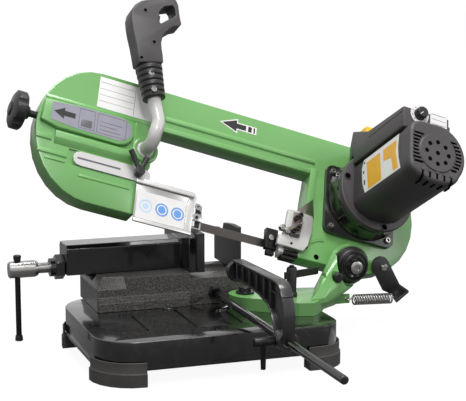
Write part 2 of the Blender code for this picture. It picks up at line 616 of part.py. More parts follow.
def build_pivot(x, pin):
    """Pivot shaft with its nut, cap and washer, and the pin that locks the head down."""
    y = MITRE_BOLT[1]
    z = PIVOT_Z
    cylinder("pivot_shaft", (x, -3 - y, z), (x, 51 - y, z), PIVOT_RADIUS, "swivel", "bright_steel")
    turned("pivot_cap", [(PIVOT_RADIUS + GAP, 0), (18, 0), (20, 3), (25, 4), (28, 7), (28, 14), (31, 14), (31, 16),
                         (PIVOT_RADIUS + GAP, 16)], (x, LUG_FRONT - 16 - GAP - y, z), (0, 1, 0), "swivel", "black_casting")
    nut_y = LUG_FRONT - 16 - 2 * GAP - y
    nut = plate("pivot_nut", hexagon(24), (0, 7), "swivel", "bright_steel", place=(x, nut_y, z), turn=(90, 0, 0))
    hole = cylinder("pivot_nut_hole", (x, nut_y - 20, z), (x, nut_y + 5, z), PIVOT_RADIUS + GAP, "swivel", None)
    cut(nut, hole)
    profile = [(0, 0), (6, 0), (8, 2), (8, 9), (5, 11), (3, 12), (3, 57), (0, 57)]
    turned("head_lock_pin", profile, (pin[0], -22 - y, pin[1]), (0, 1, 0), "swivel", "black_plastic", 20)


def build_mitre_lock():
    turned("swivel_bolt", [(0, BASE_TOP - 6), (7.9, BASE_TOP - 6), (7.9, PLATE_TOP + 0.5), (15, PLATE_TOP + 0.5),
                           (15, PLATE_TOP + 3), (10, PLATE_TOP + 3.2), (10, PLATE_TOP + 10), (8, PLATE_TOP + 11),
                           (0, PLATE_TOP + 11)], (*MITRE_BOLT, 0), (0, 0, 1), "layout", "bright_steel", 24)
    turned("swivel_lock_stud", [(0, BASE_TOP - 7), (4, BASE_TOP - 7), (4, LOCK_TOP + 3), (0, LOCK_TOP + 3)],
           (*LOCK_STUD, 0), (0, 0, 1), "layout", "bright_steel", 20)
    for name, (x, y), radius in (("bolt_well", MITRE_BOLT, 8.2), ("stud_well", LOCK_STUD, 4.3)):
        well = cylinder(name, (x, y, BASE_TOP - 12), (x, y, BASE_TOP + 5), radius, "layout", None)
        cut(bpy.data.objects["base_tray"], well)
    x, y = LOCK_STUD
    lever = turned("swivel_lock_lever", [(0, PLATE_TOP + GAP), (9, PLATE_TOP + GAP), (9, PLATE_TOP + 6),
                                         (7.5, PLATE_TOP + 8), (8.5, LOCK_TOP - 3), (7, LOCK_TOP), (0, LOCK_TOP)],
                   (x, y, 0), (0, 0, 1), "layout", "black_steel", 24)
    bar = plate("lock_lever_bar", capsule((x - 12, y - 4), (x + 50, y + 16), 2.6), (118, 129), "layout", None)
    bore = cylinder("lock_lever_bore", (x, y, 80), (x, y, 150), 4 + GAP, "layout", None, sides=20)
    unite(lever, bar)
    cut(lever, bore)


# ---- bow ----------------------------------------------------------------------------------------
def oval(centre, reach, height, start, end, steps):
    return [(centre + reach * math.cos(math.radians(start + (end - start) * i / steps)),
             SHELL_V + height * math.sin(math.radians(start + (end - start) * i / steps)))
            for i in range(steps + 1)]


def bow_outline(inset, steps=14):
    """The bow's front view: two oval housings joined by the beam, drawn in the wheel plane."""
    height = SHELL_HEIGHT - inset
    low = SHELL_V - height
    beam = BEAM_LOW + inset
    return (oval(IDLER_U, IDLER_REACH - inset, height, 90, 270, steps)
            + [(-119 - inset, low), (-118 - inset, 20), (-110 - inset, 50), (-101 - inset, 70), (-98 - inset, 105),
               (-88 - inset, beam)]
            + [(183 + inset, beam), (178 + inset, 90), (172 + inset, 5), (167 + inset, low)]
            + oval(DRIVE_U, DRIVE_REACH - inset, height, 270, 450, steps))


def build_bow_casting():
    casting = plate("bow_casting", bow_outline(0.0), (SHELL_BACK, SHELL_FRONT), "bow", "green_paint")
    edge = casting.modifiers.new("soft_edge", "BEVEL")
    edge.width = 7 * MM
    edge.segments = 2
    edge.limit_method = "ANGLE"
    edge.angle_limit = math.radians(70)
    hollow = plate("bow_hollow", bow_outline(SHELL_WALL), (SHELL_BACK - 10, SHELL_FACE), "bow", None)
    guide_way = block("guide_way", (-236, GUIDE_V[0] - 0.5, SHELL_FACE + 2), (-90, GUIDE_V[1] + 0.5, SHELL_FRONT + 20),
                      "bow", None)
    screw_way = cylinder("tension_way", (-300, TENSION_V, TENSION_W), (-260, TENSION_V, TENSION_W), 6 + GAP, "bow",
                         None, sides=20)
    blade_gate = block("blade_gate", (-135, -12, SHELL_BACK - 5), (205, 12, 12), "bow", None)
    hub_hole = cylinder("drive_hub_hole", (DRIVE_U, WHEEL_V, 10), (DRIVE_U, WHEEL_V, 50), 15, "bow", None)
    tube_hole = cylinder("handle_hole", (*TUBE_FOOT, 12), (*TUBE_FOOT, 50), TUBE_RADIUS + GAP, "bow", None)
    pivot_y = BLADE_Y
    boss = cylinder("pivot_boss", (0, LUG_BACK + GAP - pivot_y, 0), (0, 53.5 - pivot_y, 0), 25, "head", None)
    boss_hole = cylinder("boss_hole", (0, LUG_BACK - 5 - pivot_y, 0), (0, 51.5 - pivot_y, 0), PIVOT_RADIUS + GAP,
                         "head", None)
    cut(casting, hollow)
    unite(casting, boss)
    cut(casting, guide_way, screw_way, blade_gate, hub_hole, tube_hole, boss_hole)
    plate("bow_rear_cover", bow_outline(1.0), (SHELL_BACK - COVER_THICK - GAP, SHELL_BACK - GAP), "bow",
          "black_plastic")


def build_wheel(name, centre_u, bore):
    rim = WHEEL_RADIUS
    half = WHEEL_HALF
    profile = [(bore, -half), (bore + 9, -half), (bore + 9, -2.5), (rim - 10, -2.5), (rim - 9, -half), (rim, -half),
               (rim, half), (rim - 9, half), (rim - 10, 2.5), (bore + 9, 2.5), (bore + 9, half), (bore, half)]
    return turned(name, profile, (centre_u, WHEEL_V, 0), (0, 0, 1), "bow", "aluminium", 32)


def build_wheels():
    build_wheel("idler_wheel", IDLER_U, 8 + GAP)
    build_wheel("drive_wheel", DRIVE_U, 9 + GAP)
    cylinder("idler_shaft", (IDLER_U, WHEEL_V, SHELL_BACK + GAP), (IDLER_U, WHEEL_V, 8.9), 8, "bow", "bright_steel",
             sides=24)
    carriage = block("idler_carriage", (IDLER_U - 26, WHEEL_V - 20, 9.2), (IDLER_U + 26, TENSION_V + 14, 16.7), "bow",
                     "black_steel", round_by=0.6)
    knob_profile = [(0, 0), (10, 0), (12, 3), (24, 4), (31, 8), (31, 20), (27, 24), (13, 26), (9, 32), (5.6, 33),
                    (5.6, 44), (2.2, 46), (2.2, 140), (0, 140)]
    knob = turned("tension_knob", knob_profile, (KNOB_U, TENSION_V, TENSION_W), (1, 0, 0), "bow", "black_plastic", 36)
    for number in range(6):
        angle = math.radians(30 + 60 * number)
        v = TENSION_V + 37 * math.cos(angle)
        w = TENSION_W + 37 * math.sin(angle)
        lobe = cylinder("knob_lobe_%d" % number, (KNOB_U - 5, v, w), (KNOB_U + 28, v, w), 9, "bow", None, sides=16)
        cut(knob, lobe)
    carriage_hole = cylinder("carriage_hole", (IDLER_U - 40, TENSION_V, TENSION_W), (IDLER_U + 12, TENSION_V, TENSION_W),
                             2.5, "bow", None, sides=16)
    cut(carriage, carriage_hole)


def blade_section(angle, centre):
    """Four corners of the band: its width lies along w on the wheels and turns as it leaves them."""
    across = Vector((0.0, math.sin(angle), math.cos(angle)))
    through = Vector((0.0, math.cos(angle), -math.sin(angle)))
    wide = across * (BLADE_WIDTH / 2)
    thick = through * (BLADE_THICK / 2)
    return [centre + wide + thick, centre - wide + thick, centre - wide - thick, centre + wide - thick]


def build_blade():
    """Closed band round both wheels, turned upright between the guides."""
    radius = WHEEL_RADIUS + GAP + BLADE_THICK / 2
    upright = math.radians(90 - LEAN)
    low = WHEEL_V - radius
    sections = []
    stations = [(IDLER_U, 0.0), (IDLER_U + 24, 0.0)]
    stations += [(IDLER_U + 24 + 144 * i / 8, (1 - math.cos(math.pi * i / 8)) / 2) for i in range(1, 9)]
    stations += [(112 + 140 * i / 8, (1 + math.cos(math.pi * i / 8)) / 2) for i in range(9)]
    for u, share in stations:
        sections.append(blade_section(upright * share, Vector((u, low, 0.0))))
    for centre_u, start in ((DRIVE_U, -90.0), (IDLER_U, 90.0)):
        steps = 20
        for i in range(steps + (1 if centre_u == DRIVE_U else 0)):
            angle = math.radians(start + 180 * i / steps)
            spoke = Vector((math.cos(angle), math.sin(angle), 0.0))
            middle = Vector((centre_u, WHEEL_V, 0.0))
            half = Vector((0.0, 0.0, BLADE_WIDTH / 2))
            near = middle + spoke * (radius - BLADE_THICK / 2)
            far = middle + spoke * (radius + BLADE_THICK / 2)
            sections.append([near + half, near - half, far - half, far + half])
    bm = bmesh.new()
    rings = [[bm.verts.new(corner * MM) for corner in section] for section in sections]
    for here, after in zip(rings, rings[1:] + rings[:1]):
        for i in range(4):
            bm.faces.new((here[i], here[(i + 1) % 4], after[(i + 1) % 4], after[i]))
    bmesh.ops.triangulate(bm, faces=bm.faces)
    return new_part("saw_blade", mesh_of(bm, "saw_blade"), "bow", (0, 0, 0), (0, 0, 0), "bright_steel")


# ---- blade guides -------------------------------------------------------------------------------
def build_guides():
    """Sliding bar with its sheet guard and the left blade guide, and the fixed guide on the right."""
    face = SHELL_FRONT + GAP
    middle = sum(GUIDE_V) / 2
    bar = plate("guide_bar", capsule((-216, middle), (-112, middle), 12.2), (SHELL_FACE + 2 + GAP, face + 2), "bow",
                "aluminium")
    arm = block("guide_arm", (-118, 4, face), (-26, 46, face + 2), "bow", None)
    unite(bar, arm)
    guard = block("blade_guard_plate", (-122, -30, face + 2 + GAP), (-24, 36, face + 4 + GAP), "bow", "aluminium")
    flange = block("guard_flange", (-122, 34, face + 3), (-24, 36, face + 9), "bow", None)
    unite(guard, flange)
    body = block("left_guide_block", (-27, -16, 6), (-7, 26, face + 2), "bow", "aluminium", round_by=0.8)
    notch = block("left_guide_notch", (-40, -30, face - GAP), (-26 + GAP, 40, face + 10), "bow", None)
    cut(body, notch, cut_blade_slot("left_guide_slot", (-40, 10)))
    build_guide_lever()
    build_right_guide()


def cut_blade_slot(name, span):
    """The room that the upright blade needs in a guide, with space on its flanks."""
    return block(name, (span[0], -9.5, -2.2), (span[1], 9.5, 2.2), "bow", None, turn=(LEAN, 0, 0))


def build_guide_lever():
    u, v = -121.0, 53.0
    lever = cylinder("guide_clamp_lever", (u, v, SHELL_FRONT + 2.6), (u, v, SHELL_FRONT + 15), 8, "bow",
                     "black_plastic", bevel=1.0)
    for number, (du, dv, dw) in enumerate([(-20, 30, 6), (9, 25, 2)]):
        arm = cylinder("guide_lever_arm_%d" % number, (u, v, SHELL_FRONT + 10), (u + du, v + dv, SHELL_FRONT + 10 + dw),
                       3.6, "bow", None, sides=16, tip_radius=4.8)
        unite(lever, arm)


def build_right_guide():
    face = SHELL_FRONT + GAP
    block_body = block("right_guide_block", (130, 8, face), (188, 56, face + 7), "bow", "aluminium", round_by=1.0)
    low_part = block("right_guide_low", (134, -22, 6), (163, 20, face + 3), "bow", None, round_by=1.0)
    slot = cut_blade_slot("right_guide_slot", (100, 210))
    unite(block_body, low_part)
    holder = block("right_guide_holder", (112, -12, 6), (133.5, 24, 16), "bow", "black_steel", round_by=0.8)
    cut(holder, cut_blade_slot("right_holder_slot", (100, 150)))
    cut(block_body, slot)


# ---- handle -------------------------------------------------------------------------------------
def build_handle():
    axis = Vector((-0.275, 0.9615, 0.0))
    base = Vector((-121, 168, HANDLE_W))
    route = [(*TUBE_FOOT, 14), (*TUBE_FOOT, 36), (-112, 100, 51), (-112, 112, 60), base - axis * 40, base - axis * 20,
             base, base + axis * 22]
    pipe("handle_tube", route, TUBE_RADIUS, "bow", "pale_paint")
    length = 56.5
    pitch = length / RIB_COUNT
    rings = [(TUBE_RADIUS + GAP, 0.0)]
    for i in range(RIB_COUNT):
        crest = 18.3 + 3.7 * (i + 0.5) / RIB_COUNT
        rings += [(crest, pitch * i + 1), (crest, pitch * (i + 1) - 2.5), (crest - 2, pitch * (i + 1) - 1)]
    rings += [(22, length), (TUBE_RADIUS + GAP, length)]
    turned("handle_sleeve", rings, base, axis, "bow", "black_plastic", 24)


def build_grip():
    """Pistol grip with a closed guard in front of the trigger."""
    outline = [(-158, 218), (-163, 236), (-168, 253), (-174, 270), (-178, 284), (-181, 298), (-180, 310),
               (-175, 322), (-166, 332), (-154, 339), (-132, 348), (-112, 355), (-106, 353), (-102, 346),
               (-97, 324), (-93, 312), (-96, 307), (-105, 302), (-114, 293), (-120, 284), (-123, 276), (-124, 266),
               (-122, 255), (-119, 244), (-116.5, 230)]
    low, high = HANDLE_W - 15, HANDLE_W + 15
    grip = plate("handle_grip", outline, (low, high), "bow", "grey_plastic")
    edge = grip.modifiers.new("soft_edge", "BEVEL")
    edge.width = 5 * MM
    edge.segments = 2
    edge.limit_method = "ANGLE"
    edge.angle_limit = math.radians(60)
    opening = plate("guard_opening", [(-134, 322), (-126, 334), (-112, 341), (-108, 337), (-105, 324), (-108, 319),
                                      (-119, 310), (-125, 304), (-129, 300), (-133, 304)], (20, 105), "bow", None)
    trigger_way = block("trigger_way", (-150, 286, HANDLE_W - 7), (-126, 324, HANDLE_W + 7), "bow", None)
    cut(grip, opening, trigger_way)
    block("trigger", (-140, 288, HANDLE_W - 6), (-128, 321, HANDLE_W + 6), "bow", "black_plastic", round_by=2.0)


# ---- motor and gears ----------------------------------------------------------------------------
def build_gearbox():
    """Gearbox casting on the bow, and the reduction from the motor pinion to the drive shaft."""
    base = SHELL_FRONT + GAP
    casting = plate("gearbox_housing", rounded((210, 342), (38, 162), (12, 12), 4), (base, base + 8), "bow",
                    "black_casting")
    neck = cylinder("gearbox_neck", (MOTOR_U, MOTOR_V, base), (MOTOR_U, MOTOR_V, base + 40), 53, "bow", None, sides=40,
                    tip_radius=50)
    inside = cylinder("gearbox_inside", (MOTOR_U, MOTOR_V, base - 5), (MOTOR_U, MOTOR_V, base + 36), 44, "bow", None,
                      sides=36)
    way = cylinder("gearbox_way", (MOTOR_U, MOTOR_V, base), (MOTOR_U, MOTOR_V, base + 50), 12, "bow", None)
    unite(casting, neck)
    cut(casting, inside, way)
    reach = math.hypot(MOTOR_U - DRIVE_U, MOTOR_V - WHEEL_V)
    wheel = reach - PINION_RADIUS - GAP
    turned("drive_gear", [(9 + GAP, 0), (wheel, 0), (wheel, 14), (9 + GAP, 14)], (DRIVE_U, WHEEL_V, base + 12),
           (0, 0, 1), "bow", "bright_steel", 36)
    cylinder("drive_shaft", (DRIVE_U, WHEEL_V, SHELL_BACK + GAP), (DRIVE_U, WHEEL_V, base + 28), 9, "bow", "bright_steel", sides=24)
    turned("motor_rotor", [(0, 0), (PINION_RADIUS, 0), (PINION_RADIUS, 30), (10, 34), (10, 66), (30, 66), (30, 150),
                           (12, 150), (12, 176), (5, 176), (5, 196), (0, 196)], (MOTOR_U, MOTOR_V, base + 12),
           (0, 0, 1), "bow", "bright_steel", 32)


def motor_outline(grow):
    """Round on the right, with one flat side and a chamfer on the left."""
    flat = 46.0 + grow
    radius = 50.0 + grow
    corner = [(MOTOR_U - flat, MOTOR_V + 33), (MOTOR_U - flat, MOTOR_V - 35), (MOTOR_U - 36 - grow * 0.6, MOTOR_V - 46),
              (MOTOR_U - 14, MOTOR_V - 54 - grow)]
    lower = [(MOTOR_U + 18, MOTOR_V - 54 - grow), (MOTOR_U + 38 + grow * 0.7, MOTOR_V - 46 - grow * 0.7)]
    round_side = arc((MOTOR_U + 4, MOTOR_V - 3), radius, -38, 86, 8)
    return corner + lower + round_side + [(MOTOR_U - 34 - grow * 0.7, MOTOR_V + 45 + grow * 0.7)]


def build_motor():
    face = 64.0
    flange = cylinder("motor_flange", (MOTOR_U, MOTOR_V, face), (MOTOR_U, MOTOR_V, face + 12), 69, "bow",
                      "grey_plastic", sides=40, bevel=2.0)
    shaft_hole = cylinder("flange_hole", (MOTOR_U, MOTOR_V, face - 5), (MOTOR_U, MOTOR_V, face + 20), 12, "bow", None)
    cut(flange, shaft_hole)
    start = face + 12 + GAP
    end = 226.0
    housing = plate("motor_housing", motor_outline(0), (start, end), "bow", "grey_plastic")
    inside = plate("motor_inside", motor_outline(-4), (start - 5, end + 5), "bow", None)
    cut(housing, inside)
    cap = plate("motor_end_cap", motor_outline(2), (end + GAP, end + 26), "bow", "grey_plastic")
    edge = cap.modifiers.new("soft_edge", "BEVEL")
    edge.width = 8 * MM
    edge.segments = 2
    edge.limit_method = "ANGLE"
    edge.angle_limit = math.radians(60)
    cap_hollow = plate("cap_hollow", motor_outline(-5), (end - 5, end + 19), "bow", None)
    cut(cap, cap_hollow)
    for number in range(8):
        angle = math.radians(45 * number)
        u = MOTOR_U + 2 + 17 * math.cos(angle)
        v = MOTOR_V - 4 + 17 * math.sin(angle)
        cut(cap, cylinder("vent_%d" % number, (u, v, end), (u, v, end + 40), 2.8, "bow", None, sides=10))
    build_control_box()


def build_control_box():
    """The electronics box on the motor, with the speed dial on its front end."""
    low = MOTOR_V + 52.5
    end = 234.0
    side = [(31, low + 2), (74, low + 2), (77, low - 7.5), (end, low - 7.5), (end, 188), (78, 211), (31, 204)]
    box = plate("control_box", side, (-320, -234), "bow", "grey_plastic", turn=(0, -90, 0))
    room = cylinder("flange_room", (MOTOR_U, MOTOR_V, 55), (MOTOR_U, MOTOR_V, 76.5), 71, "bow", None, sides=40)
    motor_room = plate("motor_room", motor_outline(2 + GAP), (70, end + 10), "bow", None)
    well = cylinder("dial_well", (*DIAL, end - 12), (*DIAL, end + 5), 4 + GAP, "bow", None, sides=16)
    cut(box, room, motor_room, well)
    turned("speed_dial", [(0, -6), (4, -6), (4, 0), (10, 0), (9, 12), (0, 12)], (*DIAL, end + GAP), (0, 0, 1), "bow",
           "black_plastic", 24)


def build_switch():
    """Box on the drive housing with the emergency stop button on its right side."""
    box = block("switch_box", (287, 185, -9), (325, 262, 24), "bow", "yellow_plastic", round_by=2.0)
    seat = plate("switch_seat", bow_outline(-GAP), (SHELL_BACK - 20, SHELL_FRONT + 20), "bow", None)
    well = cylinder("stop_button_well", (314, 240, 7), (335, 240, 7), 5 + GAP, "bow", None, sides=20)
    cut(box, seat, well)
    turned("stop_button", [(0, -9), (5, -9), (5, 3), (13, 3), (14, 6), (11, 11), (0, 13)], (325, 240, 7), (1, 0, 0),
           "bow", "red_plastic", 24)


# ---- counterbalance -----------------------------------------------------------------------------
def in_head(point):
    """A layout point in the head frame, as it stands raised at rest."""
    turn = Matrix.Rotation(math.radians(-RAISE), 3, "Y")
    return turn @ (Vector(point) - Vector((PIVOT_X, BLADE_Y, PIVOT_Z)))


def build_counterbalance():
    """Arm on the bow and the extension spring that pulls it towards the column."""
    end = in_head(SPRING_END)
    face = 33.0 - BLADE_Y
    arm = plate("spring_arm", capsule((ARM_TOP[0], ARM_TOP[1]), (end.x, end.z), 12), (-5, 0), "head",
                "black_steel", place=(0, face, 0), turn=(90, 0, 0))
    spacer = cylinder("arm_spacer", (ARM_TOP[0], face + 3, ARM_TOP[1]), (ARM_TOP[0], 42.8 - BLADE_Y, ARM_TOP[1]), 7,
                      "head", None)
    hole = cylinder("arm_hole", (end.x, face - 20, end.z), (end.x, face + 30, end.z), 2.4, "head", None, 16)
    unite(arm, spacer)
    cut(arm, hole)
    build_spring()


def build_spring():
    start = Vector(SPRING_START)
    end = Vector(SPRING_END)
    axis = (end - start).normalized()
    side = axis.cross(Vector((0.0, 0.0, 1.0))).normalized()
    rise = side.cross(axis)
    inset = 12.0
    first = start + axis * inset
    span = (end - start).length - 2 * inset
    per_turn = 10
    count = SPRING_TURNS * per_turn
    route = [start + Vector((0, 13, 0)), start + Vector((0, 2, 0)), start + axis * 3]
    for i in range(count + 1):
        angle = 2 * math.pi * i / per_turn
        route.append(first + axis * (span * i / count)
                     + (rise * math.cos(angle) + side * math.sin(angle)) * SPRING_RADIUS)
    route += [end - axis * 3, end + Vector((0, 2, 0)), end + Vector((0, 16, 0))]
    pipe("counter_spring", route, SPRING_WIRE, "layout", "bright_steel", resolution=1, smooth_path=False)


def main():
    clear_scene()
    bpy.context.scene.collection.children.link(PARTS)
    bpy.context.scene.collection.children.link(CUTTERS)
    build_frames()
    build_base()
    build_feet()
    build_vise_bed()
    build_fixed_jaw()
    build_moving_jaw()
    build_vise_screw()
    build_stop()
    build_swivel()
    build_mitre_lock()
    build_bow_casting()
    build_wheels()
    build_blade()
    build_guides()
    build_handle()
    build_grip()
    build_gearbox()
    build_motor()
    build_switch()
    build_counterbalance()


main()
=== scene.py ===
"""Portable band saw for metal: finishes, castings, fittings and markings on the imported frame.

Shapes are drawn in millimetres in one of three frames and placed in the saw's own metres:
  layout  the base and the vise: X along the vise screw, Y to the back, Z up
  head    on the level pivot shaft, X along the blade
  bow     in the plane of the band wheels: X along the bow, Y across it, Z towards the motor
"""
import json
import math

import bmesh
import bpy
from mathutils import Matrix, Vector

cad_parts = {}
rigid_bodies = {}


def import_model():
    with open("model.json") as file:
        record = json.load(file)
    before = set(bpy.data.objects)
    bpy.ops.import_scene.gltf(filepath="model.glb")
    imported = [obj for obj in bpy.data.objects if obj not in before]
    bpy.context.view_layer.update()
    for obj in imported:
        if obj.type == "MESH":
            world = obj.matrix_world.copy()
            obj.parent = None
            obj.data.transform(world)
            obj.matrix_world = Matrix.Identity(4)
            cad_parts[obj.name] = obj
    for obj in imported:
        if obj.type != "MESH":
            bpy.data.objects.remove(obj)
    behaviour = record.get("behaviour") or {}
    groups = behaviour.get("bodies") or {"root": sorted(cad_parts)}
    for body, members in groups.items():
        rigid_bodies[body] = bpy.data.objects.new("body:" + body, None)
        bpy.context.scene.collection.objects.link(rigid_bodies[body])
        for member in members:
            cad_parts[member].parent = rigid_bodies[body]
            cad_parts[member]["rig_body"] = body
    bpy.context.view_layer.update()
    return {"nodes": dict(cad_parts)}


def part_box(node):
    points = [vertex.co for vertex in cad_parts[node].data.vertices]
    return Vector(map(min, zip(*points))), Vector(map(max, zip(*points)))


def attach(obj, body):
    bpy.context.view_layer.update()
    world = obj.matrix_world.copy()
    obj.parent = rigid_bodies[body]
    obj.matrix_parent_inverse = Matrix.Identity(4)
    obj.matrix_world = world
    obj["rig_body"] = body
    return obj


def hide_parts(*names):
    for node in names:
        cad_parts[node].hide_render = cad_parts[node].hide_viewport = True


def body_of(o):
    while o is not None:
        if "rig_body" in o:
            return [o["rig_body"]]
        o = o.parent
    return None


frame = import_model()

# ---- frames ---------------------------------------------------------------------------------------
MM = 0.001
RAISE = math.radians(17.4)    # how far the head stands open
LEAN = math.radians(31.0)     # how far the bow leans over the blade's plane
PIVOT = (223.0, 127.0)        # the pivot shaft's X and Z in the layout
STOP = (6.0, 85.5)            # the stop rod's X and Z in the layout
LAYOUT = Matrix.Translation((-0.0288, 0.112, 0.0)) @ Matrix.Scale(MM, 4)
HEAD = LAYOUT @ Matrix.Translation((PIVOT[0], 65.0, PIVOT[1])) @ Matrix.Rotation(RAISE, 4, "Y")
BOW = HEAD @ Matrix.Translation((-256.0, 0.0, -7.3)) @ Matrix.Rotation(math.radians(90.0) - LEAN, 4, "X")

# levels along the bow's Z
BACK = -9.8                   # outer face of the cover behind the band wheels
FACE = 22.0                   # the casting's flat front
ROOT = 21.6                   # foot of the ribs, sunk a little into that front
GUARD = 26.4                  # front of the sliding guard plate
BOSS = 29.0                   # top of the raised boss on the idler housing
BOX_FRONT = 234.0             # front of the electronics box
CAP_END = 252.0               # flat end of the motor's cap

# places in the bow's X and Y
WHEEL_CENTRES = ((-196, 91), (276, 91))
HANDLE_FOOT = (-113, 97)
MOTOR_MIDDLE = (285.0, 105.0)
MOTOR_LEFT = 237.0            # the flat left side, X only
DIAL_MIDDLE = (263.0, 176.0)
VENT_ROW = (259, 272, 285, 298, 311)
FLANGE_EYES = ((225, 124), (297, 49), (344, 96))


# ---- shader maths ---------------------------------------------------------------------------------
class Value:
    """One output socket; arithmetic on it adds Math nodes to its finish."""

    def __init__(self, finish, socket):
        self.finish = finish
        self.socket = socket

    def maths(self, operation, *values, clamp=False):
        return self.finish.node("ShaderNodeMath", {"operation": operation, "use_clamp": clamp},
                                dict(enumerate(values)))

    def __add__(self, other):
        return self.maths("ADD", self, other)

    def __mul__(self, other):
        return self.maths("MULTIPLY", self, other)

    __radd__ = __add__
    __rmul__ = __mul__

    def held(self):
        """The value kept between 0 and 1."""
        return self.maths("ADD", self, 0.0, clamp=True)


def tint(red, green, blue):
    """A colour as paint charts give it, 0 to 255, made linear."""
    linear = [((c / 255 + 0.055) / 1.055) ** 2.4 if c > 10 else c / 3295 for c in (red, green, blue)]
    return (*linear, 1.0)


class Finish:
    """A named node material on one Principled shader."""

    def __init__(self, name, colour, roughness, metallic=0.0, coat=0.0, coat_roughness=0.1):
        self.material = bpy.data.materials.new(name)
        self.material.use_nodes = True
        self.tree = self.material.node_tree
        self.shader = self.tree.nodes["Principled BSDF"]
        self.colour = tint(*colour)
        self.set("Base Color", self.colour)
        self.set("Roughness", roughness)
        self.set("Metallic", metallic)
        self.set("Coat Weight", coat)
        self.set("Coat Roughness", coat_roughness)
        self.place = self.node("ShaderNodeTexCoord", {}, {}, "Object")

    def node(self, kind, settings, inputs, output=0):
        made = self.tree.nodes.new(kind)
        for name, setting in settings.items():
            if name == "stops":
                for stop, (position, colour) in zip(made.color_ramp.elements, setting):
                    stop.position, stop.color = position, colour
            else:
                setattr(made, name, setting)
        for name, value in inputs.items():
            self.join(made.inputs[name], value)
        return Value(self, made.outputs[output])

    def join(self, socket, value):
        if isinstance(value, Value):
            self.tree.links.new(value.socket, socket)
        else:
            socket.default_value = value

    def set(self, socket, value):
        self.join(self.shader.inputs[socket], value)

    def noise(self, scale, detail=3.0, rough=0.55, place=None):
        return self.node("ShaderNodeTexNoise", {}, {"Vector": place or self.place, "Scale": scale,
                                                    "Detail": detail, "Roughness": rough})

    def stretched(self, factors):
        return self.node("ShaderNodeMapping", {}, {"Vector": self.place, "Scale": factors})

    def cells(self, scale):
        return self.node("ShaderNodeTexVoronoi", {}, {"Vector": self.place, "Scale": scale})

    def ramp(self, value, low, high):
        """Rises from 0 where the value is low to 1 where it is high."""
        stops = ((low, (0.0, 0.0, 0.0, 1.0)), (high, (1.0, 1.0, 1.0, 1.0)))
        return self.node("ShaderNodeValToRGB", {"stops": stops}, {"Fac": value})

    def blend(self, factor, first, second):
        return self.node("ShaderNodeMix", {"data_type": "RGBA"}, {0: factor, 6: first, 7: second}, 2)

    def vary(self, pattern, other, strength):
        """Shifts the base colour towards another one where the pattern is strong."""
        self.set("Base Color", self.blend((pattern * strength).held(), self.colour, tint(*other)))

    def mottle(self, pattern, low, high, other, strength):
        self.vary(self.ramp(pattern, low, high), other, strength)

    def surface(self, roughness, height, depth, strength):
        """Sets the roughness, and a fine relief whose depth is in millimetres."""
        self.set("Roughness", roughness)
        self.set("Normal", self.node("ShaderNodeBump", {}, {"Height": height, "Distance": depth * MM,
                                                            "Strength": strength}))


FINISHES = {}


def finish(name, *args, **settings):
    FINISHES[name] = Finish(name, *args, **settings)
    return FINISHES[name]


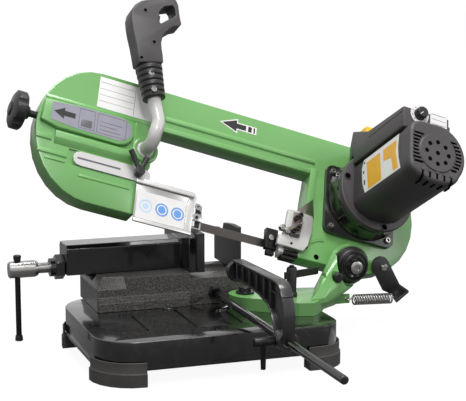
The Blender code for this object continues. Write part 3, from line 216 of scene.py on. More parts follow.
def make_finishes():
    green = finish("leaf_green_enamel", (116, 174, 101), 0.38, coat=0.4, coat_roughness=0.22)
    peel = green.noise(420, 2)
    drift = green.ramp(green.noise(9, 4), 0.35, 0.75)
    green.vary(drift, (104, 163, 90), 0.55)
    green.surface(0.3 + 0.12 * drift, peel + 3.0 * green.noise(34, 3), 0.06, 0.55)

    gloss = finish("gloss_black_enamel", (13, 12, 12), 0.2, coat=0.7, coat_roughness=0.07)
    peel = gloss.noise(300, 2)
    dust = gloss.ramp(gloss.noise(60, 5, 0.7), 0.52, 0.75)
    gloss.vary(dust, (46, 44, 43), 0.4)
    gloss.surface(0.17 + 0.2 * dust, peel + 2.0 * gloss.noise(45, 2), 0.08, 0.5)

    cast = finish("sand_cast_black", (27, 26, 26), 0.5, coat=0.25, coat_roughness=0.3)
    grit = cast.noise(520, 4, 0.65)
    cast.mottle(cast.noise(30, 5), 0.4, 0.8, (48, 46, 44), 0.6)
    cast.surface(0.4 + 0.22 * grit, grit + 2.0 * cast.cells(240), 0.22, 0.6)

    sheet = finish("bright_zinc_sheet", (170, 169, 168), 0.3, metallic=0.75)
    sheet.mottle(sheet.noise(7, 4), 0.35, 0.65, (196, 195, 194), 0.6)

    iron = finish("rough_cast_iron", (40, 38, 38), 0.45, coat=0.3, coat_roughness=0.25)
    grit = iron.noise(760, 4, 0.7)
    # the pale speckle over the grit is painted glint: pale colour standing in for highlights off the rough
    # cast surface
    iron.mottle(grit, 0.45, 0.66, (148, 145, 141), 0.7)
    iron.surface(0.34 + 0.3 * grit, grit + 2.0 * iron.cells(200), 0.4, 0.9)

    grey = finish("moulded_dark_grey", (70, 66, 68), 0.44)
    grain = grey.cells(900)
    grey.mottle(grey.noise(14, 4), 0.35, 0.8, (57, 54, 55), 0.7)
    grey.surface(0.4 + 0.16 * grain, grain, 0.05, 0.5)

    black = finish("moulded_black", (21, 20, 20), 0.42)
    grain = black.cells(800)
    black.mottle(black.noise(40, 3), 0.4, 0.8, (34, 32, 32), 0.6)
    black.surface(0.34 + 0.16 * grain, grain, 0.05, 0.5)

    rubber = finish("foot_rubber", (66, 64, 63), 0.62)
    grain = rubber.noise(700, 3)
    rubber.mottle(rubber.noise(35, 5), 0.4, 0.75, (86, 83, 80), 0.6)
    rubber.surface(0.55 + 0.15 * grain, grain, 0.12, 0.5)

    satin = finish("satin_black_casting", (26, 25, 25), 0.34, coat=0.5, coat_roughness=0.18)
    grit = satin.noise(420, 3, 0.6)
    satin.mottle(satin.noise(30, 4), 0.4, 0.8, (44, 42, 41), 0.6)
    satin.surface(0.28 + 0.18 * grit, grit, 0.1, 0.5)

    alloy = finish("cast_aluminium", (208, 207, 205), 0.4, metallic=0.45)
    grain = alloy.noise(380, 4, 0.6)
    alloy.mottle(alloy.noise(26, 4), 0.4, 0.8, (182, 180, 178), 0.6)
    alloy.surface(0.3 + 0.2 * grain, grain, 0.07, 0.5)

    brushed = finish("milled_aluminium", (216, 214, 213), 0.32, metallic=0.55)
    lines = brushed.noise(160, 3, 0.6, brushed.stretched((1.0, 14.0, 14.0)))
    brushed.mottle(lines, 0.4, 0.7, (182, 180, 180), 0.5)
    brushed.surface(0.24 + 0.2 * lines, lines, 0.05, 0.4)

    zinc = finish("zinc_steel", (172, 170, 168), 0.28, metallic=1.0)
    mottle = zinc.noise(110, 4)
    zinc.mottle(zinc.noise(50, 4), 0.45, 0.8, (138, 136, 136), 0.5)
    zinc.surface(0.22 + 0.14 * mottle, zinc.noise(600, 2), 0.03, 0.4)

    oxide = finish("black_oxide_steel", (30, 29, 29), 0.32, metallic=0.6)
    oxide.mottle(oxide.noise(90, 4), 0.45, 0.8, (62, 60, 58), 0.6)
    oxide.surface(0.24 + 0.2 * oxide.noise(50, 4), oxide.noise(500, 2), 0.05, 0.4)

    tube = finish("pale_enamel", (214, 212, 210), 0.3, coat=0.4)
    tube.mottle(tube.noise(24, 4), 0.4, 0.8, (192, 189, 187), 0.7)
    tube.surface(0.26 + 0.12 * tube.noise(30, 3), tube.noise(350, 2), 0.05, 0.5)

    band = finish("blade_steel", (142, 134, 130), 0.34, metallic=1.0)
    lines = band.noise(220, 3, 0.6, band.stretched((1.0, 18.0, 18.0)))
    band.mottle(lines, 0.4, 0.7, (112, 106, 104), 0.6)
    band.surface(0.28 + 0.2 * lines, lines, 0.03, 0.4)

    def film(name, colour, other, roughness=0.42):
        made = finish(name, colour, roughness, coat=0.2)
        made.mottle(made.noise(60, 4), 0.4, 0.8, other, 0.7)
        made.surface(roughness - 0.06 + 0.12 * made.noise(120, 3), made.noise(500, 2), 0.02, 0.4)

    film("white_film", (236, 235, 234), (224, 222, 221))
    film("violet_grey_film", (148, 147, 160), (136, 135, 148))
    film("black_film", (16, 16, 16), (28, 28, 28))
    film("line_grey_film", (98, 97, 104), (84, 83, 90))
    film("amber_film", (240, 176, 38), (228, 160, 30))
    film("blue_film", (104, 160, 232), (90, 146, 222))
    film("pale_blue_film", (196, 222, 246), (184, 212, 240))
    film("yellow_moulding", (240, 196, 30), (224, 178, 24), 0.35)
    film("red_moulding", (196, 34, 28), (172, 26, 22), 0.3)
    film("deep_shadow_black", (4, 4, 4), (7, 7, 7), 0.9)
    FINISHES["deep_shadow_black"].set("Specular IOR Level", 0.05)
    FINISHES["deep_shadow_black"].set("Coat Weight", 0.0)


make_finishes()


# ---- shapes ---------------------------------------------------------------------------------------
def bevelled(shape, edges, width, segments):
    """Rounds the given edges."""
    bmesh.ops.bevel(shape, geom=edges, offset=width, offset_type="OFFSET", segments=segments, profile=0.5,
                    affect="EDGES", clamp_overlap=True, material=-1)
    return shape


def soften(shape, width, segments=2, angle=28.0):
    """Rounds every edge that turns by more than the angle, in degrees."""
    edges = [e for e in shape.edges
             if len(e.link_faces) == 2 and e.calc_face_angle(0.0) > math.radians(angle)]
    return bevelled(shape, edges, width, segments) if width and edges else shape


def block(low, high, width=0.6):
    """A box between two corners, with soft edges."""
    shape = bmesh.new()
    bmesh.ops.create_cube(shape, size=1.0)
    size = Vector([h - l for l, h in zip(low, high)])
    middle = Vector([(h + l) / 2 for l, h in zip(low, high)])
    return soften(moved(shape, Matrix.LocRotScale(middle, None, size)), width)


def plate(outline, low, high, width=0.6, segments=2, slope=0.0):
    """A flat outline raised from low to high along Z; a slope draws its top in on all sides."""
    shape = bmesh.new()
    face = shape.faces.new([shape.verts.new((x, y, low)) for x, y in outline])
    raised = bmesh.ops.extrude_face_region(shape, geom=[face])["geom"]
    top = [v for v in raised if isinstance(v, bmesh.types.BMVert)]
    bmesh.ops.translate(shape, vec=(0, 0, high - low), verts=top)
    if slope:
        middle = sum((v.co for v in top), Vector()) / len(top)
        reach = max((v.co - middle).length for v in top)
        bmesh.ops.scale(shape, vec=(1 - slope / reach, 1 - slope / reach, 1), verts=top,
                        space=Matrix.Translation(-middle))
    bmesh.ops.recalc_face_normals(shape, faces=shape.faces)
    return soften(shape, width, segments)


def rod(start, end, radius, sides=24, width=0.5):
    """A round bar between two points."""
    start, end = Vector(start), Vector(end)
    shape = bmesh.new()
    bmesh.ops.create_cone(shape, cap_ends=True, segments=sides, radius1=radius, radius2=radius,
                          depth=(end - start).length)
    turn = (end - start).to_track_quat("Z", "Y")
    return soften(moved(shape, Matrix.LocRotScale((start + end) / 2, turn, None)), width, 2, 40.0)


def turned(profile, base, axis=(0, 0, 1), sides=36):
    """Spins a profile of (radius, height) pairs that meets the axis at both ends or is closed on itself."""
    shape = bmesh.new()
    points = [shape.verts.new((r, 0, h)) for r, h in profile]
    for first, second in zip(points, points[1:]):
        shape.edges.new((first, second))
    if profile[0][0] > 0:
        shape.edges.new((points[-1], points[0]))
    bmesh.ops.spin(shape, geom=shape.verts[:] + shape.edges[:], cent=(0, 0, 0), axis=(0, 0, 1),
                   angle=math.tau, steps=sides, use_merge=True)
    bmesh.ops.remove_doubles(shape, verts=shape.verts, dist=1e-4)
    bmesh.ops.recalc_face_normals(shape, faces=shape.faces)
    return moved(shape, Matrix.LocRotScale(Vector(base), Vector(axis).to_track_quat("Z", "Y"), None))


def tube(points, radius, sides):
    """A round section carried along an open path, mitred at each point."""
    shape = bmesh.new()
    path = [Vector(p) for p in points]
    rings = []
    side = None
    for i, here in enumerate(path):
        before, after = path[max(i - 1, 0)], path[min(i + 1, len(path) - 1)]
        along = ((here - before).normalized() + (after - here).normalized()).normalized()
        if side is None:
            side = along.orthogonal().normalized()
        side = (side - along * side.dot(along)).normalized()
        turn = Matrix((side, along.cross(side), along)).transposed().to_4x4()
        rings.append(bmesh.ops.create_circle(shape, cap_ends=False, segments=sides, radius=radius,
                                             matrix=Matrix.Translation(here) @ turn)["verts"])
    loops = [[e for e in shape.edges if e.verts[0] in ring and e.verts[1] in ring]
             for ring in map(set, rings)]
    for first, second in zip(loops, loops[1:]):
        bmesh.ops.bridge_loops(shape, edges=first + second)
    bmesh.ops.holes_fill(shape, edges=shape.edges[:], sides=sides)
    bmesh.ops.recalc_face_normals(shape, faces=shape.faces)
    return shape


def polar(centre, across, up, degrees):
    """A point on an ellipse about the centre."""
    angle = math.radians(degrees)
    return centre[0] + across * math.cos(angle), centre[1] + up * math.sin(angle)


def arc(centre, radius, start, end, steps=10):
    """Points on an arc between two angles in degrees."""
    return [polar(centre, radius, radius, start + (end - start) * i / steps) for i in range(steps + 1)]


def rounded(x, y, corner, steps=5):
    """A rectangle's outline with round corners."""
    return (arc((x[1] - corner, y[0] + corner), corner, -90, 0, steps)
            + arc((x[1] - corner, y[1] - corner), corner, 0, 90, steps)
            + arc((x[0] + corner, y[1] - corner), corner, 90, 180, steps)
            + arc((x[0] + corner, y[0] + corner), corner, 180, 270, steps))


def hexagon(across, centre):
    return [polar(centre, across / math.sqrt(3), across / math.sqrt(3), 60 * i) for i in range(6)]


def moved(shape, matrix):
    bmesh.ops.transform(shape, matrix=matrix, verts=shape.verts)
    return shape


def trimmed(shape, *cuts):
    """Cuts the shape at planes, each a point and the way to what comes off, and closes the openings."""
    for point, way in cuts:
        cut = bmesh.ops.bisect_plane(shape, geom=shape.verts[:] + shape.edges[:] + shape.faces[:],
                                     plane_co=point, plane_no=way, clear_outer=True)["geom_cut"]
        bmesh.ops.edgenet_fill(shape, edges=[e for e in cut if isinstance(e, bmesh.types.BMEdge)])
    bmesh.ops.recalc_face_normals(shape, faces=shape.faces)
    return shape


# ---- pieces ---------------------------------------------------------------------------------------
def piece(name, shapes, look, body="bow", place=BOW, stands_for=(), smooth=35.0):
    """Joins the shapes in one mesh, puts it in the saw's frame and hands it to its moving body."""
    whole = bmesh.new()
    for shape in shapes:
        single = bpy.data.meshes.new("single")
        shape.to_mesh(single)
        shape.free()
        whole.from_mesh(single)
        bpy.data.meshes.remove(single)
    return settled(name, moved(whole, place), look, body, stands_for, smooth)


def settled(name, shape, look, body, stands_for, smooth):
    """Makes a finished mesh a piece; edges that turn by more than the smooth angle stay sharp."""
    mesh = bpy.data.meshes.new(name)
    shape.to_mesh(mesh)
    shape.free()
    mesh.shade_smooth()
    mesh.set_sharp_from_angle(angle=math.radians(smooth))
    mesh.materials.append(FINISHES[look].material)
    made = bpy.data.objects.new(name, mesh)
    bpy.context.scene.collection.objects.link(made)
    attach(made, body)
    if stands_for:
        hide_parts(*stands_for)
    return made


def copy_of(node):
    """The node's own shape, with its loose triangles joined in whole faces."""
    shape = bmesh.new()
    shape.from_mesh(frame["nodes"][node].data)
    bmesh.ops.remove_doubles(shape, verts=shape.verts, dist=2e-6)
    bmesh.ops.dissolve_limit(shape, angle_limit=math.radians(0.6), verts=shape.verts, edges=shape.edges)
    return shape


def dressed(node, look, width, turn=32.0):
    """The node's own shape with its edges rounded and its curves smooth, in place of the plain node."""
    source = frame["nodes"][node]
    slot, body = source.data.materials[0].name, body_of(source)[0]
    made = settled(node + "_body", copy_of(node), look, body, (node,), turn)
    if width:
        edge = made.modifiers.new("edges", "BEVEL")
        edge.width = width * MM
        edge.segments = 2
        edge.limit_method = "ANGLE"
        edge.angle_limit = math.radians(turn)
        edge.harden_normals = False
        edge.use_clamp_overlap = True


# node: its finish, and how far its edges are rounded
DRESS = {
    "foot_front_left": ("foot_rubber", 1.4), "foot_front_right": ("foot_rubber", 1.4),
    "foot_rear_left": ("foot_rubber", 1.4), "foot_rear_right": ("foot_rubber", 1.4),
    "vise_bed": ("rough_cast_iron", 1.2), "fixed_jaw": ("sand_cast_black", 0.8),
    "moving_jaw": ("gloss_black_enamel", 1.2), "moving_jaw_plate": ("sand_cast_black", 0.8),
    "vise_screw": ("zinc_steel", 0.5), "screw_collar": ("gloss_black_enamel", 0.8),
    "t_bar": ("black_oxide_steel", 0.0), "t_bar_cap_upper": ("moulded_black", 0.6),
    "t_bar_cap_lower": ("moulded_black", 0.6), "vise_nut": ("black_oxide_steel", 0.8),
    "stop_bush": ("zinc_steel", 0.5), "stop_rod": ("gloss_black_enamel", 0.6),
    "stop_rod_nut": ("black_oxide_steel", 0.6), "stop_clamp_lever": ("black_oxide_steel", 0.9),
    "swivel_casting": ("leaf_green_enamel", 1.6), "swivel_bolt": ("black_oxide_steel", 0.5),
    "swivel_lock_stud": ("black_oxide_steel", 0.4), "swivel_lock_lever": ("moulded_black", 0.8),
    "pivot_shaft": ("zinc_steel", 0.4), "pivot_cap": ("moulded_black", 0.8),
    "pivot_nut": ("black_oxide_steel", 0.6), "head_lock_pin": ("moulded_black", 0.6),
    "bow_casting": ("leaf_green_enamel", 1.2), "bow_rear_cover": ("moulded_black", 0.3),
    "gearbox_housing": ("satin_black_casting", 1.6), "motor_flange": ("moulded_dark_grey", 1.5),
    "switch_box": ("yellow_moulding", 1.6), "stop_button": ("red_moulding", 1.0),
    "speed_dial": ("moulded_black", 0.6), "handle_tube": ("pale_enamel", 0.0),
    "handle_sleeve": ("moulded_black", 0.6), "handle_grip": ("moulded_dark_grey", 3.0),
    "trigger": ("moulded_black", 1.0), "tension_knob": ("moulded_black", 1.5),
    "idler_carriage": ("black_oxide_steel", 0.6), "idler_shaft": ("zinc_steel", 0.4),
    "idler_wheel": ("cast_aluminium", 0.5), "drive_wheel": ("cast_aluminium", 0.5),
    "drive_shaft": ("zinc_steel", 0.4), "drive_gear": ("zinc_steel", 0.3),
    "motor_rotor": ("zinc_steel", 0.4), "saw_blade": ("blade_steel", 0.0),
    "guide_bar": ("milled_aluminium", 0.7), "blade_guard_plate": ("bright_zinc_sheet", 0.3),
    "left_guide_block": ("cast_aluminium", 0.7), "guide_clamp_lever": ("moulded_black", 0.8),
    "right_guide_holder": ("black_oxide_steel", 0.6),
}
for node, (look, width) in DRESS.items():
    dressed(node, look, width)


# ---- the tray -------------------------------------------------------------------------------------
ROLL = 7.5                    # radius of the tray's rolled top edge


def make_tray():
    """The pressed tray: its top edge is rolled over a generous radius all the way round."""
    shape = copy_of("base_tray")
    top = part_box("base_tray")[1].z
    rolled = []
    for edge in shape.edges:
        level = all(abs(v.co.z - top) < 1e-5 for v in edge.verts)
        walls = [f for f in edge.link_faces
                 if abs(f.normal.z) < 0.3 and min(v.co.z for v in f.verts) < top - 0.01]
        if level and len(edge.link_faces) == 2 and len(walls) == 1 and edge.calc_face_angle(0.0) > 0.9:
            rolled.append(edge)
    bmesh.ops.bevel(shape, geom=rolled, offset=ROLL * MM, offset_type="OFFSET", segments=6, profile=0.5,
                    affect="EDGES", clamp_overlap=False, material=-1)
    settled("base_tray_body", shape, "gloss_black_enamel", "base", stands_for=("base_tray",),
            smooth=40)


# ---- shapes of the head ---------------------------------------------------------------------------
UPRIGHT = Matrix(((0, 0, 1, 0), (1, 0, 0, 0), (0, 1, 0, 0), (0, 0, 0, 1)))    # a plate's X, Y, Z to Y, Z, X


def along(profile, start, end, width=0.5):
    """A profile in Y and Z carried along X."""
    return moved(plate(profile, start, end, width), UPRIGHT)


def facing_left(outline, place, width=0.0):
    """A thin film on the motor's left side; its outline is in the bow's Z and Y."""
    turn = Matrix(((0, 0, -1, place), (0, 1, 0, 0), (1, 0, 0, 0), (0, 0, 0, 1)))
    return moved(plate(outline, 0.0, 0.35, width, 1), turn)


def disc(centre, base, radius, high, width=0.0, sides=28):
    """A low round boss, or a hole's dark floor."""
    return rod((*centre, base), (*centre, base + high), radius, sides=sides, width=width)


def socket_screw(centre, base, radius, high):
    """A cylinder head with a hexagon socket."""
    head = turned([(radius * 0.5, 0), (radius, 0), (radius, high * 0.82), (radius * 0.88, high),
                   (radius * 0.56, high), (radius * 0.5, high * 0.9)], (*centre, base), sides=20)
    floor = plate(hexagon(radius * 1.1, centre), base, base + high * 0.4, 0.0)
    return [head, floor]


def arrow_outline(tip, base, tail, middle, head, shaft):
    return [(tip, middle), (base, middle - head), (base, middle - shaft), (tail, middle - shaft),
            (tail, middle + shaft), (base, middle + shaft), (base, middle + head)]


def make_bow_relief():
    """The raised boss, ribs and lips cast on the bow's front, and the handle tube's socket and weld."""
    boss = ([(-290, 99), (-262, 91), (-160, 91)] + arc((-160, 115.5), 24.5, -90, 90, 12)
            + [(-232, 140), (-287, 136)])
    seat = along([(65.0, 21.4), (76.0, 27.6), (86.0, 27.6), (93.0, 21.4)], -262, -131, 1.0)
    shoulder = along([(83.5, ROOT), (85.0, 23.6), (88.0, 23.6), (90.5, ROOT)], -131, -99, 0.8)
    crown = along([(141.0, ROOT), (143.5, 22.9), (150.0, ROOT)], -284, -97)
    post = plate([(-133.5, 87), (-129.5, 87), (-129.5, 142), (-133.5, 142)], ROOT, 23.4, 0.8)
    piece("arrow_boss", [plate(boss, 21.5, BOSS, 2.4, 3, 2.0), seat, shoulder, crown, post],
          "leaf_green_enamel")
    ribs = [along([(69, ROOT), (71, 24.0), (77, 24.0), (81, ROOT)], -291, -266, 0.8),
            along([(45.5, ROOT), (47.5, 23.8), (51.5, 23.8), (55.5, ROOT)], -286, -238, 0.8),
            along([(37.0, ROOT), (38.2, 23.2), (40.6, 23.2), (42.6, ROOT)], -273, -240, 0.6),
            along([(20.8, ROOT), (22.2, 23.2), (25.0, 23.2), (27.0, ROOT)], -216, -131, 0.6)]
    piece("housing_ribs", ribs, "leaf_green_enamel")
    lip = along([(156.5, ROOT), (159.0, 24.6), (163.0, 24.8), (169.0, ROOT)], -84, 190, 1.0)
    flange = along([(137.4, ROOT), (139.0, 24.2), (146.0, 24.2), (149.0, ROOT)], -87, 190, 0.8)
    upright = plate([(183.2, 150), (196, 150), (191, 90), (186, 15), (180, 8), (172.6, 8), (178.4, 90)], ROOT,
                    24.4, 1.0)
    foot = plate([(172, 2), (205, 20), (214, 22), (214, 28), (203, 27), (176, 11)], ROOT, 23.6, 0.8)
    piece("beam_ribs", [lip, flange, upright, foot], "leaf_green_enamel")
    socket = turned([(12.2, -1), (22.5, -1), (21.5, 2.6), (18.5, 3.6), (15.0, 1.6), (12.2, 0.6)],
                    (*HANDLE_FOOT, FACE), sides=36)
    piece("handle_socket", [socket], "leaf_green_enamel")
    weld = turned([(10.6, 0), (13.4, 0), (14.0, 1.4), (13.0, 3.0), (11.6, 3.6), (10.6, 3.4)],
                  (*HANDLE_FOOT, FACE + 0.4), sides=30)
    piece("tube_weld", [weld], "pale_enamel")
    holes = [disc((202, -9), FACE - 0.4, 4.6, 0.55), disc((182, 4), FACE - 0.4, 3.4, 0.55)]
    piece("lug_holes", holes, "deep_shadow_black")


def make_bow_markings():
    """Plain films on the bow's front, with rules and arrows and no lettering."""
    edge = [(150, 22.25), (204.6, 22.25), (209.6, 20.2), (212.1, 15.4), (211.6, 15.2), (209.2, 19.8),
            (204.4, 21.8), (150, 21.8)]
    piece("data_plate", [along(edge, -201, -108, 0.0)], "white_film", smooth=50)
    rules = [block((-199, v, 22.1), (-141, v + 0.5, 22.4), 0.0) for v in (195.5, 184, 173, 162)]
    rules.append(block((-139.6, 152, 22.1), (-139.0, 196, 22.4), 0.0))
    piece("data_plate_rules", rules, "line_grey_film")
    panel = ([(-274, 133.4), (-233, 137.4), (-161, 138)] + arc((-161, 117.6), 20.4, 90, -90, 14)
             + [(-233, 98), (-274, 102.4)])
    piece("direction_plate", [plate(panel, BOSS - 0.4, BOSS + 0.35, 0.15, 1)], "violet_grey_film")
    line = 0.7
    lines = []
    for low, high in (((-229, 101), (-203, 135)), ((-199, 101), (-150, 135))):
        for a, b in ((low, (high[0], low[1] + line)), ((low[0], high[1] - line), high),
                     (low, (low[0] + line, high[1])), ((high[0] - line, low[1]), high)):
            lines.append(block((*a, BOSS + 0.2), (*b, BOSS + 0.5), 0.0))
    for low, high in (((-225, 104), (-207, 117)), ((-194, 121), (-158, 122)), ((-194, 114), (-166, 115)),
                      ((-194, 107), (-158, 108))):
        lines.append(block((*low, BOSS + 0.2), (*high, BOSS + 0.5), 0.1))
    piece("direction_plate_lines", lines, "line_grey_film")
    arrow = arrow_outline(-270, -253, -235, 118, 9.6, 4.4)
    piece("direction_arrow", [plate(arrow, BOSS + 0.2, BOSS + 0.6, 0.0)], "black_film")
    piece("beam_arrow_edge", [plate(arrow_outline(10.5, 43.5, 78.5, 188, 13.5, 6.8), 21.7, 22.25, 0.0)],
          "white_film")
    piece("beam_arrow", [plate(arrow_outline(15.5, 41.8, 59, 188, 10.4, 4.6), 21.9, 22.45, 0.0),
                         block((63, 183, 21.9), (69.5, 193, 22.45), 0.0),
                         block((73, 183, 21.9), (75.6, 193, 22.45), 0.0)], "black_film")


def make_guides():
    """The sliding guide's films and fittings, then the fixed guide with its roller and side bearing."""
    film = plate(rounded((-119, -36), (-23, 23.5), 1.5, 3), GUARD - 0.1, GUARD + 0.45, 0.0)
    piece("guard_film", [film], "white_film", "guide")
    for number, x, radius, look in ((1, -103, 5.0, "pale_blue_film"), (2, -76, 6.4, "blue_film"),
                                    (3, -49, 6.4, "blue_film")):
        ring = turned([(8.6, 0), (11.0, 0), (11.0, 0.4), (8.6, 0.4)], (x, 0, GUARD + 0.3), sides=36)
        spot = disc((x, 0), GUARD + 0.3, radius, 0.4, 0.0, 36)
        piece("guard_disc_%d" % number, [ring, spot], look, "guide")
    hem = along([(-30.0, 26.4), (-23.6, 26.4), (-24.6, 28.0), (-30.0, 28.4)], -122, -24, 0.4)
    side = plate([(-35, -24), (-24, -24), (-24, 34), (-31, 34), (-35, 20)], GUARD - 0.1, GUARD + 1.2, 0.4)
    piece("guard_hem", [hem, side], "milled_aluminium", "guide")
    arm = plate([(-122, 37), (-30, 37), (-26.4, 33), (-26.4, -14), (-19, -14), (-19, 38), (-24, 44.6),
                 (-122, 44.6)], 22.6, 27.0, 0.9)
    piece("guide_arm_edge", [arm], "milled_aluminium", "guide")
    # painted shade: the groove is not cut, and a grey strip on the bar stands in for the shade inside it
    slot = [plate(rounded((-222, -150), (50.2, 53.2), 1.4, 4), 24.0, 24.45, 0.0)]
    piece("guide_bar_groove_shade", slot, "line_grey_film", "guide")
    ring = turned([(2.6, 0), (6.0, 0), (6.0, 5), (5.2, 6), (2.6, 6)], (-15, 21, 22), sides=24)
    washer = turned([(2.6, 0), (8.2, 0), (8.2, 2), (2.6, 2)], (-15, 21, 20.6), sides=24)
    shoe = block((-24, -4, 22), (-8, 9, 28.5), 0.9)
    piece("guide_head_fittings", [ring, shoe], "zinc_steel", "guide")
    piece("guide_head_washers", [washer, plate([(-26, 5), (-9, 9), (-9, 15), (-20, 17)], 22, 26.5, 0.6),
                                 block((-24, -14, 21), (-10, -4.6, 26), 0.8)]
          + socket_screw((-17, 2), 28.2, 2.6, 1.6), "black_oxide_steel", "guide")

    main = plate([(126, -7), (173, -8.5), (181, 3), (187.5, 30), (188, 57), (158, 60), (143, 59.5), (139, 28),
                  (136, 11), (128.5, 10.5)], 22.3, 31.0, 0.9)
    under = block((134, -21, 6), (166, -4, 14), 0.8)
    piece("right_guide_casting", [main, under], "cast_aluminium",
          stands_for=("right_guide_block",))
    piece("right_guide_gusset", [plate([(157, 60), (190, 93), (193, 58), (186, 50)], ROOT, 24.4, 0.5)],
          "blade_steel")
    recess = plate([(152, 56), (167, 57), (169.5, 40), (165, 13), (131, 12), (149, 31)], 30.6, 31.25, 0.2)
    piece("right_guide_recess", [recess], "blade_steel")
    screws = []
    for centre in ((163.5, 51.5), (156, 45), (160, 27.5), (152.5, 21)):
        screws += socket_screw(centre, 31.1, 4.5, 6.5)
    screws.append(block((146, 11.5, 30.8), (163, 16.5, 35.0), 0.8))
    piece("right_guide_screws", screws, "satin_black_casting")
    nuts = []
    for centre in ((132, 22), (141, 19)):
        nuts += [plate(hexagon(9.5, centre), 28.0, 36.4, 0.6), disc(centre, 36.0, 3.2, 2.0, 0.5)]
    nuts += [disc((121, 7), 15.8, 5.0, 3.0, 0.6), disc((166, 37), 31.1, 2.2, 6.0, 0.6)]
    piece("right_guide_nuts", nuts, "zinc_steel")
    piece("right_guide_pin_hole", [disc((151, -0.5), 30.7, 2.2, 0.45)], "deep_shadow_black")
    roller = [rod((141, -14, 18), (168, -14, 18), 6.2, sides=28, width=0.8),
              block((137, -26, 9), (164, -20.6, 24), 1.4), block((115, -22, 6.5), (129, -13, 15), 1.2)]
    piece("blade_back_roller", roller, "black_oxide_steel")
    bearing = turned([(2, 0), (7.0, 0), (7.4, 0.6), (7.4, 8.4), (7.0, 9), (2, 9)], (131.5, -13, 18),
                     (1, 0, 0), 28)
    piece("blade_side_bearing", [bearing], "cast_aluminium")


def eased(outline, radius, steps=6):
    """The outline with every corner turned into a curve that starts the radius before it."""
    points = [Vector(p) for p in outline]
    curve = []
    for i, corner in enumerate(points):
        before, after = points[i - 1], points[(i + 1) % len(points)]
        start = corner + (before - corner).normalized() * min(radius, (before - corner).length * 0.48)
        end = corner + (after - corner).normalized() * min(radius, (after - corner).length * 0.48)
        for step in range(steps + 1):
            t = step / steps
            curve.append(tuple(start * (1 - t) ** 2 + corner * (2 * t * (1 - t)) + end * t ** 2))
    return curve


def motor_section(grow):
    """Round on the right, one flat side with a chamfer on the left."""
    flat = 46.0 + grow
    return ([(283 - flat, 143), (283 - flat, 75), (247 - grow * 0.6, 64), (269, 56 - grow), (301, 56 - grow),
             (321 + grow * 0.7, 64 - grow * 0.7)] + arc((287, 107), 50 + grow, -34, 84, 14)
            + [(249 - grow * 0.7, 155 + grow * 0.7)])


def make_motor_body():
    """Motor tube, deep end cap with a rolled edge, and the electronics box over them."""
    tube_wall = plate(eased(motor_section(0), 7.0, 4), 76.3, 226.6, 0.4)
    seam = plate(eased(motor_section(-1.2), 7.0, 4), 226.4, 227.6, 0.0)
    piece("motor_tube", [tube_wall, seam], "moulded_dark_grey", stands_for=("motor_housing",),
          smooth=50)
    cap = plate(eased(motor_section(1.6), 16.0, 6), 227.2, CAP_END, 0.0)
    bevelled(cap, [e for e in cap.edges if all(v.co.z > CAP_END - 0.1 for v in e.verts)], 8.0, 5)
    piece("motor_cap", [cap], "moulded_dark_grey", stands_for=("motor_end_cap",), smooth=50)
    side = [(31, 165), (75, 165), (77.5, 147.5), (234, 147.5), (234, 183.5), (228, 184.5), (122, 189.5),
            (74, 211), (31, 203.5)]
    turn = Matrix(((0, 0, 1, 0), (0, 1, 0, 0), (1, 0, 0, 0), (0, 0, 0, 1)))
    box = moved(plate(side, 234.0, 318.0, 0.0), turn)
    bmesh.ops.recalc_face_normals(box, faces=box.faces)
    trimmed(box, ((234, 0, 72), (-41, 0, -18)), ((318, 200, 0), (1, 1.2, 0)))
    step = block((314, 152, 78), (322, 172, 232), 2.0)
    piece("electronics_box", [soften(box, 2.6, 3, 20), step], "moulded_dark_grey",
          stands_for=("control_box",), smooth=40)
    beads = [block((233.5, 150.5, 84), (235.0, 152.0, 230), 0.5),
             block((233.4, 176.0, 126), (235.0, 177.4, 230), 0.5)]
    piece("box_beads", beads, "moulded_dark_grey")


def make_motor_film():
    """A plain white film with two amber fields and a few marks on the motor's flat side."""
    film = [(108, 142), (217, 142), (214, 122), (216, 100), (222, 79), (114, 80), (105, 100), (102, 128)]
    piece("rating_plate", [facing_left(film, MOTOR_LEFT, 0.1)], "white_film")
    front_field = [(117, 134), (159, 134), (166, 83), (124, 83)]
    rear_field = [(169, 134), (210, 134), (208, 112), (216, 83), (201, 83), (194, 109), (171, 113)]
    fields = [facing_left(outline, MOTOR_LEFT - 0.2) for outline in (front_field, rear_field)]
    piece("rating_plate_panels", fields, "amber_film")
    marks = [facing_left([(w, v), (w + 4, v), (w + 4, v + h), (w, v + h)], MOTOR_LEFT - 0.2)
             for w, v, h in ((108.5, 134, 4), (106.5, 117, 5), (110, 95, 9))]
    piece("rating_plate_marks", marks, "black_film")


